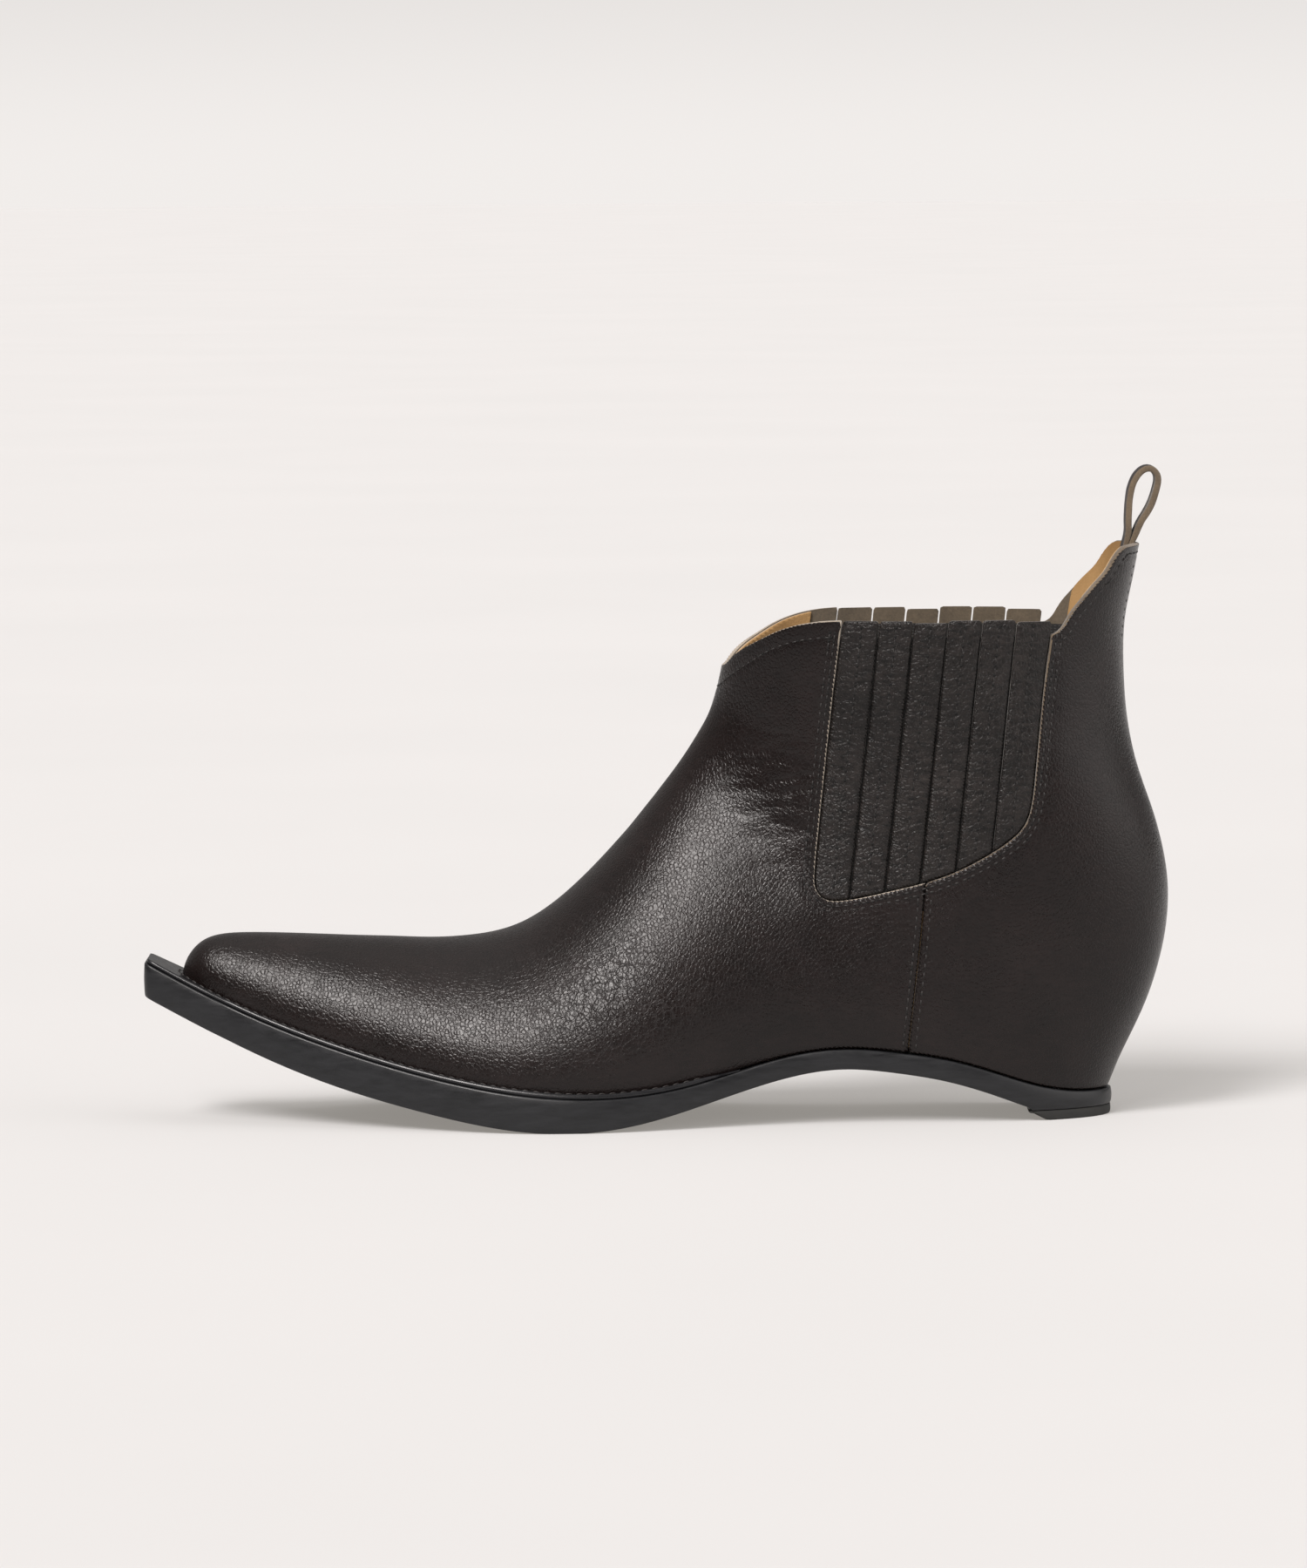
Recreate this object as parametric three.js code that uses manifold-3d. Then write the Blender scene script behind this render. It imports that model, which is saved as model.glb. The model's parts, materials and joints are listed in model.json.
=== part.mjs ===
// Pull-on western ankle boot, left foot.
// Millimetres, +Z up. The toe points to -X, the outer side of the foot is -Y.
// The heel foot stands on the origin and the ground is Z = 0.
import * as THREE from 'three';
import Module from 'manifold-3d';

const wasm = await Module();
wasm.setup();

// ---- driving dimensions ----

const soleLength = 286;          // squared toe tip to the back of the heel foot
const ballWidth = 90;            // across the sole at the ball of the foot
const shaftHeight = 150;         // top of the gore strips above the ground
const drawn = { x: 286, y: 90, z: 150 };   // sizes the outline tables below are drawn at

const leather = 1.4;             // upper leather
const lining = 0.8;              // lining leather
const stiffener = 1.1;           // toe puff and heel counter
const elastic = 1.0;             // gore web
const strip = 1.1;               // gore strips
const tape = 0.5;                // tape behind the side seams
const tapeWidth = 10;
const insole = 2.4;              // insole board
const sock = 1.0;                // sock liner
const pad = 2.2;                 // foam heel pad
const liftHeight = 3.0;          // heel top lift
const weltHeight = 1.3;
const fit = 0.3;                 // clearance between pieces that are glued or sewn together
const facetSlack = 0.07;         // facets flatter than this to each other are merged

const overhangToe = 3.0;         // sole ledge outside the upper, forefoot
const overhangWaist = 1.0;       // the same, arch and heel
const tipReach = 11;             // sole in front of the upper
const tipWidth = 21;             // squared toe tip
const weltInset = 0.8;           // welt edge inside the sole edge
const weltEnd = -98;             // the welt stops here, behind the ball
const margin = 11;               // lasted margin turned in under the insole board

const stripCount = 6;
const stripPitch = 10.2;
const stripGap = 0.5;
const stripLean = 0.112;         // strips lean to the toe on the way down
const goreTuck = 8;              // elastic tucked behind the leather round the window
const elasticDrop = 5;           // elastic ends below the strip tops

const tabWidth = 11;
const tabLeather = 2.0;
const tabTail = 15;              // length of the ends sewn in below the topline
const tabPivotRise = 1.6;        // loop hinge line above the topline
const tabLoopStart = 1.2;        // loop starts above its hinge line

const shankWidth = 15;
const shankThickness = 1.4;
const rivetRadius = 2.0;
const rivetSink = 0.8;           // rivet ends stay inside the sloping board and shank
const nailRadius = 0.9;
const nailRing = 8.5;            // heel nails stand on a ring round the heel foot's centre
const nailCount = 5;
const nailBite = 2.0;            // nail tips stand this far above the insole board, in the wedge
const nailSink = 0.8;            // nail heads are below the tread face

// ---- scaled coordinates ----

const kx = soleLength / drawn.x;
const ky = ballWidth / drawn.y;
const kz = shaftHeight / drawn.z;

function scaleXZ(points) {
  return points.map(([x, z]) => [x * kx, z * kz]);
}

// ---- splines ----

// Natural cubic through (knots, values). With a start slope given, it is clamped there.
function spline(knots, values, startSlope = null) {
  const n = knots.length;
  const h = knots.slice(1).map((k, i) => k - knots[i]);
  const lower = new Array(n).fill(0);
  const diagonal = new Array(n).fill(1);
  const upper = new Array(n).fill(0);
  const right = new Array(n).fill(0);
  for (let i = 1; i < n - 1; i++) {
    lower[i] = h[i - 1];
    diagonal[i] = 2 * (h[i - 1] + h[i]);
    upper[i] = h[i];
    const ahead = (values[i + 1] - values[i]) / h[i];
    const behind = (values[i] - values[i - 1]) / h[i - 1];
    right[i] = 6 * (ahead - behind);
  }
  if (startSlope !== null) {
    diagonal[0] = 2 * h[0];
    upper[0] = h[0];
    right[0] = 6 * ((values[1] - values[0]) / h[0] - startSlope);
  }
  for (let i = 1; i < n; i++) {
    const f = lower[i] / diagonal[i - 1];
    diagonal[i] -= f * upper[i - 1];
    right[i] -= f * right[i - 1];
  }
  const bend = new Array(n).fill(0);
  bend[n - 1] = right[n - 1] / diagonal[n - 1];
  for (let i = n - 2; i >= 0; i--) {
    bend[i] = (right[i] - upper[i] * bend[i + 1]) / diagonal[i];
  }
  return (x) => {
    let i = 0;
    while (i < n - 2 && x > knots[i + 1]) i++;
    const a = knots[i + 1] - x;
    const b = x - knots[i];
    const w = h[i];
    const straight = (values[i] / w - bend[i] * w / 6) * a
      + (values[i + 1] / w - bend[i + 1] * w / 6) * b;
    return straight + (bend[i] * a ** 3 + bend[i + 1] * b ** 3) / (6 * w);
  };
}

function profile(points) {
  const p = scaleXZ(points);
  return spline(p.map((q) => q[0]), p.map((q) => q[1]));
}

function ramp(x, from, to) {
  const s = Math.min(1, Math.max(0, (x - from) / (to - from)));
  return s * s * (3 - 2 * s);
}

// ---- sole profiles, side view ----

const soleTop = profile([
  [-272, 45.9], [-259.4, 39.5], [-241, 31.4], [-217, 23.1], [-193.5, 16.7], [-172, 12.4], [-152, 10.2],
  [-132, 10.2], [-112, 13.2], [-92, 18.9], [-78, 21.9], [-64.5, 22.6], [-50.6, 21.2], [-36.7, 18.9],
  [-22.8, 14.8], [-9, 10.2], [2, 8.2], [12, 7.8],
]);
const soleBottom = profile([
  [-275.5, 37.4], [-259.5, 29.3], [-241.4, 21.0], [-217.3, 12.2], [-193.4, 5.9], [-173, 1.8], [-156, 0.0],
  [-142, 0.2], [-124, 3.1], [-104, 8.9], [-84, 14.6], [-68, 16.7], [-52, 15.3], [-36.8, 12.5],
  [-24, 8.5], [-15.5, 5.2],
]);
const heelFront = -12.5 * kx;          // the top lift starts here
const heelContact = -7 * kx;           // and touches the ground from here
const feather = (x) => soleTop(x) + fit;

// ---- the last: the outer surface of the upper ----

// Each station joins a point on the front line to a point on the sole or back line.
// [front x, z, back x, z, outer half width, inner half width, widest at, front, side, side, back handles]
const stations = [
  [-265.2, 41.6, -265.2, 41.6, 0, 0, 0.5, 0.6, 0.55, 0.55, 0.6],
  [-264.2, 47.4, -263.5, 38.5, 4.6, 4.6, 0.5, 0.6, 0.55, 0.55, 0.6],
  [-260.8, 52.3, -260.3, 34.7, 9.0, 9.2, 0.52, 0.6, 0.55, 0.55, 0.6],
  [-255.5, 55.1, -254.8, 29.5, 12.7, 13.2, 0.54, 0.6, 0.52, 0.55, 0.65],
  [-247, 56.0, -246, 23.0, 16.2, 17.2, 0.55, 0.58, 0.5, 0.55, 0.7],
  [-234, 55.7, -233, 14.0, 21.0, 23.0, 0.56, 0.56, 0.48, 0.55, 0.7],
  [-216, 54.8, -215, 5.0, 27.4, 30.4, 0.57, 0.54, 0.46, 0.55, 0.7],
  [-197, 54.1, -196, -3.0, 34.0, 36.8, 0.58, 0.52, 0.45, 0.55, 0.7],
  [-180, 54.4, -178, -9.0, 39.4, 41.2, 0.59, 0.5, 0.45, 0.55, 0.7],
  [-164, 58.0, -158, -11.0, 43.6, 42.8, 0.6, 0.47, 0.45, 0.55, 0.7],
  [-149, 68.2, -132, -9.0, 44.4, 38.6, 0.6, 0.45, 0.46, 0.55, 0.68],
  [-135, 82.3, -102, -3.0, 40.6, 33.0, 0.57, 0.46, 0.48, 0.55, 0.64],
  [-125.5, 93.9, -70, 2.0, 36.4, 30.2, 0.54, 0.48, 0.5, 0.55, 0.62],
  [-118.5, 102.8, -36, -1.0, 33.6, 30.0, 0.52, 0.5, 0.52, 0.54, 0.62],
  [-113.5, 109.9, -8, -6.0, 32.4, 30.8, 0.52, 0.52, 0.54, 0.54, 0.62],
  [-109.8, 115.8, 8.5, 2.0, 32.2, 31.6, 0.53, 0.54, 0.55, 0.54, 0.62],
  [-107.2, 120.6, 15.5, 16.2, 32.6, 32.2, 0.54, 0.56, 0.56, 0.55, 0.62],
  [-105.4, 125.6, 24.6, 36.0, 33.2, 33.0, 0.54, 0.58, 0.58, 0.56, 0.62],
  [-104.0, 130.8, 30.2, 64.0, 34.2, 34.0, 0.53, 0.6, 0.6, 0.57, 0.62],
  [-102.6, 137.0, 26.2, 90.0, 35.2, 35.2, 0.52, 0.6, 0.6, 0.58, 0.62],
  [-101.0, 144.0, 19.4, 112.0, 36.2, 36.2, 0.51, 0.6, 0.6, 0.58, 0.6],
  [-99.2, 152.0, 17.2, 140.0, 37.2, 37.2, 0.5, 0.6, 0.6, 0.58, 0.6],
  [-97.0, 163.0, 19.8, 159.0, 38.0, 38.0, 0.5, 0.6, 0.6, 0.58, 0.6],
  [-94.5, 178.0, 23.6, 178.0, 38.6, 38.6, 0.5, 0.6, 0.6, 0.58, 0.6],
];
const lastStation = stations.length - 1;
const stationKnots = stations.map((s, i) => i);
const columnScale = [kx, kz, kx, kz, ky, ky, 1, 1, 1, 1, 1];
const columns = columnScale.map((k, c) => {
  const startSlope = c === 0 || c === 2 ? 0 : null;
  return spline(stationKnots, stations.map((s) => s[c] * k), startSlope);
});

// Cubic from (0, 0) to (1, 1) that leaves along v and arrives along u.
function quarter(t, leave, arrive) {
  const r = 1 - t;
  const u = 3 * r * t * t * (1 - arrive) + t ** 3;
  const v = 3 * r * r * t * leave + 3 * r * t * t + t ** 3;
  return [u, v];
}

// q runs from 0 on the front line through 1 at the widest point to 2 on the sole or back line.
// Negative q is the outer side.
function lastPoint(station, q) {
  if (q > 2) q -= 4;
  if (q < -2) q += 4;
  const [fx, fz, bx, bz, outer, inner, widest, kf, ks, ku, kb] = columns.map((c) => c(station));
  const half = q < 0 ? -outer : inner;
  const way = Math.abs(q);
  let s;
  let y;
  if (way <= 1) {
    const [u, v] = quarter(way, kf, ks);
    s = widest * u;
    y = half * v;
  } else {
    const [u, v] = quarter(2 - way, kb, ku);
    s = 1 - (1 - widest) * u;
    y = half * v;
  }
  return new THREE.Vector3(fx + (bx - fx) * s, y, fz + (bz - fz) * s);
}

function lastNormal(station, q) {
  if (station < 1e-6) return new THREE.Vector3(-1, 0, 0);
  const step = 0.01;
  const along = lastPoint(Math.min(lastStation, station + step), q)
    .sub(lastPoint(Math.max(0, station - step), q));
  const round = lastPoint(station, q + step).sub(lastPoint(station, q - step));
  return along.cross(round).normalize();
}

// ---- solids ----

function solid(vertices, triangles) {
  const mesh = new wasm.Mesh({
    numProp: 3,
    vertProperties: new Float32Array(vertices.flat()),
    triVerts: new Uint32Array(triangles.flat()),
  });
  return new wasm.Manifold(mesh);
}

// Prism over an outline, along the axis left out of its plane.
function prism(outline, low, high, place) {
  const loop = outline.map(([u, v]) => new THREE.Vector2(u, v));
  if (THREE.ShapeUtils.isClockWise(loop)) loop.reverse();
  const faces = THREE.ShapeUtils.triangulateShape(loop, []);
  const n = loop.length;
  const vertices = [low, high].flatMap((w) => loop.map((p) => place(p.x, p.y, w)));
  const triangles = faces.flatMap(([a, b, c]) => [[a, c, b], [a + n, b + n, c + n]]);
  for (let i = 0; i < n; i++) {
    const j = (i + 1) % n;
    triangles.push([i, j, j + n], [i, j + n, i + n]);
  }
  return solid(vertices, triangles);
}

const far = 400;
const prismZ = (outline, low, high) => prism(outline, low, high, (u, v, w) => [u, v, w]);
const prismY = (outline, low = -far, high = far) => (
  prism(outline, -high, -low, (u, v, w) => [u, -w, v])
);
const lateral = (outline) => prismY(outline, -far, 0);
const medial = (outline) => prismY(outline, 0, far);

function cylinder(x, y, low, high, radius, sides = 12) {
  const ring = Array.from({ length: sides }, (_, i) => {
    const a = 2 * Math.PI * i / sides;
    return [x + radius * Math.cos(a), y + radius * Math.sin(a)];
  });
  return prismZ(ring, low, high);
}

// Side-view region above one height function and below another.
function between(lower, upper, from, to, step = 11) {
  const count = Math.ceil((to - from) / step);
  const xs = Array.from({ length: count + 1 }, (_, i) => from + (to - from) * i / count);
  const bottom = xs.map((x) => [x, lower(x)]);
  const top = xs.map((x) => [x, upper(x)]).reverse();
  return prismY([...bottom, ...top]);
}

const reach = { from: -320 * kx, to: 60 * kx };

function above(height, step = 11) {
  return between(height, () => far, reach.from, reach.to, step);
}

const rowStations = [0, 0.45, 0.9, 1.4, 2, 3, 4, 5.2, 6.4, 7.6, 8.7, 9.6, 10.4, 11.3, 12.2, 13.1, 13.9,
  14.6, 15.2, 15.7, 16.3, 16.9, 17.6, 18.3, 19, 19.7, 20.4, 21.2, 22, 23];
const roundSteps = 11;           // facets from the front line to the sole or back line, each side

// The closed last, everywhere `depth(point)` inside its outer surface.
function lastSolid(depth) {
  const ring = Array.from({ length: 2 * roundSteps }, (_, j) => -2 * j / roundSteps);
  const wrap = (q) => (q < -2 ? q + 4 : q);
  const place = (u, q) => {
    const p = lastPoint(u, q);
    return p.addScaledVector(lastNormal(u, q), -depth(p)).toArray();
  };
  const rows = rowStations.slice(1).map((u) => ring.map((q) => place(u, wrap(q))));
  const nose = place(0, 0);
  const topRow = rows[rows.length - 1];
  const middle = [0, 1, 2].map((k) => topRow.reduce((sum, p) => sum + p[k], 0) / topRow.length);
  const vertices = [nose, ...rows.flat(), middle];
  const n = ring.length;
  const at = (r, j) => 1 + r * n + (j % n);
  const triangles = [];
  for (let j = 0; j < n; j++) {
    triangles.push([0, at(0, j + 1), at(0, j)]);
    triangles.push([vertices.length - 1, at(rows.length - 1, j), at(rows.length - 1, j + 1)]);
    for (let r = 0; r < rows.length - 1; r++) {
      triangles.push([at(r, j), at(r, j + 1), at(r + 1, j + 1)]);
      triangles.push([at(r, j), at(r + 1, j + 1), at(r + 1, j)]);
    }
  }
  return solid(vertices, triangles);
}

// The stiffeners push the lining in at the toe and round the heel.
const puffEnd = -218 * kx;
const counterStart = -34 * kx;
const counterTop = 60 * kz;
const clear = 14;                // the lining is already pushed in this far from a stiffener's edge
const blend = 10;                // and comes back out over this length

function stiffened(p) {
  const toe = ramp(p.x, puffEnd + clear + blend, puffEnd + clear);
  const heel = ramp(p.x, counterStart - clear - blend, counterStart - clear)
    * ramp(p.z, counterTop + clear + blend, counterTop + clear);
  return (stiffener + fit) * Math.max(toe, heel);
}

const core = (depth) => lastSolid(() => depth);
const linedCore = (depth) => lastSolid((p) => depth + stiffened(p));

const liningDepth = leather + fit;
const footDepth = liningDepth + lining + fit;
const upperOut = core(0);
const upperIn = core(leather);
const layerOut = core(liningDepth);
const stiffIn = core(liningDepth + stiffener);
const elasticIn = core(liningDepth + elastic);
const tapeIn = core(liningDepth + tape);
const stripOut = core(leather - strip);
const liningOut = linedCore(liningDepth);
const liningIn = linedCore(liningDepth + lining);
const footSpace = linedCore(footDepth);

// ---- side-view outlines ----

const goreWindow = scaleXZ([
  [-67.7, 150.3], [-70.7, 127.9], [-74.0, 97.0], [-76.4, 74.5], [-76.0, 70.2], [-73.6, 67.4], [-70.0, 66.7],
  [-62, 67.8], [-52.5, 70.0], [-43.4, 72.1], [-35.5, 74.7], [-27.0, 78.8], [-19.0, 83.7], [-13.8, 88.4],
  [-11.4, 94.5], [-9.7, 110.7], [-7.3, 133.3], [-5.4, 145.4], [-4.9, 150.3],
]);
const seamOnWindow = 9;
const seam = scaleXZ([[-43.4, 72.1], [-44.8, 55], [-46.9, 37.2], [-48.8, 20], [-52, -25]]);
const frontTopline = scaleXZ([
  [-300, 134.5], [-106, 134.8], [-102.4, 135.4], [-100.6, 138.0], [-97.6, 140.8], [-92.2, 143.9],
  [-86.4, 147.0], [-80.5, 148.9], [-74, 150.0], [-67.7, 150.3],
]);
const backTopline = scaleXZ([
  [-4.9, 145.4], [-2.2, 146.7], [0.6, 151.7], [4.8, 156.2], [7.8, 159.6], [11.7, 163.2], [13.9, 167.0],
  [16.2, 169.8], [18.6, 171.0], [60, 171.0],
]);
const backTop = backTopline[backTopline.length - 1][1];

// Moves every point of an open line sideways, to the right of its direction.
function shifted(line, distance) {
  return line.map((p, i) => {
    const a = line[Math.max(0, i - 1)];
    const b = line[Math.min(line.length - 1, i + 1)];
    const length = Math.hypot(b[0] - a[0], b[1] - a[1]);
    return [p[0] + distance * (b[1] - a[1]) / length, p[1] - distance * (b[0] - a[0]) / length];
  });
}

const low = -60;
const everywhere = [[-far, -far], [far, -far], [far, far], [-far, far]];
const frontCorner = [reach.from, low];
const backCorner = [reach.to, low];

function vampOutline(windowLine, seamLine, seamIndex = seamOnWindow) {
  return [frontCorner, ...frontTopline, ...windowLine.slice(1, seamIndex), ...seamLine];
}

function quarterOutline(windowLine, seamLine, seamIndex = seamOnWindow) {
  const rear = windowLine.slice(seamIndex + 1, -1);
  return [...[...seamLine].reverse(), ...rear, ...backTopline, backCorner];
}

// ---- footprint and sole plan ----

// Where the outer surface meets the feather line, nose to heel, on one side.
function footprint(side) {
  const found = [];
  for (let u = 0.25; u < lastStation; u += u < 14 ? 0.5 : 0.2) {
    const drop = (q) => {
      const p = lastPoint(u, q * side);
      return p.z - feather(p.x);
    };
    if (drop(2) > 0 && found.length) break;
    if (drop(2) > 0) continue;
    let a = 0;
    let b = 2;
    for (let i = 0; i < 40; i++) {
      const m = (a + b) / 2;
      if (drop(m) > 0) a = m;
      else b = m;
    }
    const p = lastPoint(u, a * side);
    found.push([p.x, p.y]);
  }
  return found;
}

const prints = { outer: footprint(-1), inner: footprint(1) };

// Closed plan outline, `grow(x)` outside the footprint.
function plan(grow) {
  const start = [prints.outer[0][0] - 0.6, 0];
  const line = [...prints.inner].reverse().concat([start], prints.outer);
  const tail = prints.outer[prints.outer.length - 1];
  const back = [tail[0] + 0.6, 0];
  const loop = [...line, back];
  const n = loop.length;
  return loop.map((p, i) => {
    const a = loop[(i + n - 1) % n];
    const b = loop[(i + 1) % n];
    const length = Math.hypot(b[0] - a[0], b[1] - a[1]);
    const g = grow(p[0]);
    return [p[0] + g * (b[1] - a[1]) / length, p[1] - g * (b[0] - a[0]) / length];
  });
}

function overhang(x) {
  return overhangWaist + (overhangToe - overhangWaist) * ramp(x, weltEnd * kx + 25, weltEnd * kx - 25);
}

function tipOutline(inset) {
  const nose = prints.outer[0][0];
  const half = tipWidth / 2 - inset;
  const front = nose - tipReach + inset;
  const root = nose + 14 * kx;
  const widthAt = (side) => {
    const line = side < 0 ? prints.outer : prints.inner;
    const p = line.find((q) => q[0] > root);
    return side * (Math.abs(p[1]) + overhangToe - inset);
  };
  return [
    [front, -half + 2], [front + 1.2, -half], [root, widthAt(-1)], [root + 2, 0], [root, widthAt(1)],
    [front + 1.2, half], [front, half - 2],
  ];
}

function solePlan(inset) {
  const body = prismZ(plan((x) => overhang(x) - inset), low, far);
  return body.add(prismZ(tipOutline(inset), low, far));
}

// ---- pieces ----

const nails = Array.from({ length: nailCount }, (_, i) => {
  const a = Math.PI * 2 * (i + 0.5) / nailCount;
  return [-2 * kx + nailRing * 0.8 * Math.cos(a), nailRing * Math.sin(a)];
});
const rivets = [[-116 * kx, 0], [-34 * kx, 0]];

function drilled(body, holes, radius) {
  return holes.reduce((rest, [x, y]) => rest.subtract(cylinder(x, y, low, far, radius)), body);
}

const floorOf = (height) => (x) => feather(x) + height;
const boardLow = floorOf(liningDepth + lining + fit);
const boardHigh = floorOf(liningDepth + lining + fit + insole);
const seat = (() => {
  const rise = profile([
    [-150, 0], [-128, 1.2], [-100, 3.6], [-70, 8], [-40, 17.5], [-14, 27], [12, 30], [30, 30],
  ]);
  return (x) => boardHigh(x) + fit + (x < -150 * kx ? 0 : Math.max(0, rise(x)));
})();
const padStart = -46 * kx;
const wedgeStart = -118 * kx;

function outsole() {
  const bottom = (x) => (x > heelFront ? liftHeight + fit : Math.max(0, soleBottom(x)));
  const xs = [];
  for (let x = -286 * kx; x < heelFront - 2; x += 7 * kx) xs.push(x);
  xs.push(heelFront - 1.5, heelFront, 20 * kx);
  const tops = [];
  for (let x = 20 * kx; x > -286 * kx; x -= 7 * kx) tops.push([x, soleTop(x)]);
  const side = prismY([...xs.map((x) => [x, bottom(x)]), ...tops, [-286 * kx, soleTop(-286 * kx)]]);
  return drilled(solePlan(0).intersect(side), nails, nailRadius + 0.1);
}

function topLift() {
  const side = prismY([[heelFront, liftHeight], [heelContact, 0], [20 * kx, 0], [20 * kx, liftHeight]]);
  return drilled(solePlan(0).intersect(side), nails, nailRadius + 0.1);
}

function welt() {
  const slab = between(floorOf(0), floorOf(weltHeight), reach.from, weltEnd * kx);
  const hole = core(-fit);
  return solePlan(weltInset).intersect(slab).subtract(hole);
}

// Plan of the space inside the lasted margins.
function hollowPlan(clearance) {
  const inset = margin + clearance;
  const side = (line) => line
    .filter(([x, y]) => Math.abs(y) > inset + 2 && x < -margin)
    .map(([x, y]) => [x, Math.sign(y) * (Math.abs(y) - inset)]);
  return prismZ([...side(prints.inner).reverse(), ...side(prints.outer)], low, far);
}

function turned(shell) {
  const hollow = hollowPlan(0).subtract(above(floorOf(liningDepth + lining + 0.1)));
  return shell.subtract(hollow);
}

function upperShell() {
  return upperOut.intersect(above(floorOf(0))).subtract(upperIn.intersect(above(floorOf(leather))));
}

function liningShell() {
  const outside = liningOut.intersect(above(floorOf(liningDepth)));
  return outside.subtract(liningIn.intersect(above(floorOf(liningDepth + lining))));
}

function layer(inside, bottom = liningDepth) {
  return layerOut.intersect(above(floorOf(bottom))).subtract(inside);
}

const goreEdge = shifted(goreWindow, goreTuck);
const goreClear = shifted(goreWindow, goreTuck + fit);
const stripEdge = shifted(goreWindow, -fit);

// Side-view region inside an open line round the window, with no top.
function openTopped(line) {
  return [...line, [line.at(-1)[0], far], [line[0][0], far]];
}

function liningPanels() {
  const shell = drilled(turned(liningShell()), nails, nailRadius + 0.1);
  const opening = prismY(openTopped(goreClear));
  const ahead = shifted(seam, tapeWidth / 2 + fit);
  const behind = shifted(seam, -tapeWidth / 2 - fit);
  return { shell, opening, ahead, behind };
}

function strips(side) {
  const shell = stripOut.subtract(upperIn);
  const band = shell.intersect(side(openTopped(stripEdge)));
  const top = 149.8 * kz;
  const foot = 60 * kz;
  const lean = stripLean * kx / kz * (foot - top);
  return Array.from({ length: stripCount }, (_, i) => {
    const a = (-66.9 + i * stripPitch) * kx + (i ? stripGap / 2 : -4);
    const b = (-66.9 + (i + 1) * stripPitch) * kx + (i < stripCount - 1 ? -stripGap / 2 : 4);
    return band.intersect(side([[a, top], [b, top], [b + lean, foot], [a + lean - (i ? 0 : 4), foot]]));
  });
}

// ---- pull tab ----

const tabPivot = { x: 19.8 * kx, z: backTop + tabPivotRise };
// Middle line of the strap, measured from the hinge line.
const tabLine = [[-1.05, tabLoopStart], [-1.2, 5], [-0.9, 12], [0.4, 17.2], [3.2, 20.4], [6.0, 20.7],
  [7.9, 18.2], [7.4, 14.4], [5.3, 8.8], [2.2, 4.2], [1.05, tabLoopStart]];

function tabLoop() {
  const line = new THREE.CatmullRomCurve3(tabLine.map(([x, z]) => new THREE.Vector3(x, z, 0)));
  const middle = line.getPoints(30).map((p) => [tabPivot.x + p.x, tabPivot.z + p.y]);
  const outside = shifted(middle, -tabLeather / 2);
  const inside = shifted(middle, tabLeather / 2);
  return prismY([...outside, ...inside.reverse()], -tabWidth / 2, tabWidth / 2);
}

function tabTailPiece() {
  const box = prismY([
    [5 * kx, backTop - tabTail], [60 * kx, backTop - tabTail], [60 * kx, backTop], [5 * kx, backTop],
  ], -tabWidth / 2, tabWidth / 2);
  return layerOut.subtract(core(liningDepth + 1.6 * tabLeather)).intersect(box);
}

// ---- finish ----

const finishes = {
  black: { color: 0x2c2527, roughness: 0.42, metalness: 0 },
  stripBlack: { color: 0x35302f, roughness: 0.6, metalness: 0 },
  rubber: { color: 0x1d1e21, roughness: 0.5, metalness: 0 },
  tan: { color: 0xb98d52, roughness: 0.8, metalness: 0 },
  board: { color: 0xc2a27a, roughness: 0.9, metalness: 0 },
  cork: { color: 0x9a7142, roughness: 0.95, metalness: 0 },
  steel: { color: 0x9a9c9e, roughness: 0.35, metalness: 1 },
  foam: { color: 0xd8cfa8, roughness: 0.95, metalness: 0 },
  web: { color: 0x1f1d1c, roughness: 0.9, metalness: 0 },
  puff: { color: 0xd9d2c0, roughness: 0.8, metalness: 0 },
};

function named(name, body, finish) {
  const out = body.simplify(facetSlack).getMesh();
  const geometry = new THREE.BufferGeometry();
  geometry.setAttribute('position', new THREE.BufferAttribute(new Float32Array(out.vertProperties), 3));
  geometry.setIndex(new THREE.BufferAttribute(new Uint32Array(out.triVerts), 1));
  geometry.computeVertexNormals();
  const mesh = new THREE.Mesh(geometry, new THREE.MeshStandardMaterial(finishes[finish]));
  mesh.name = name;
  return mesh;
}

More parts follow.
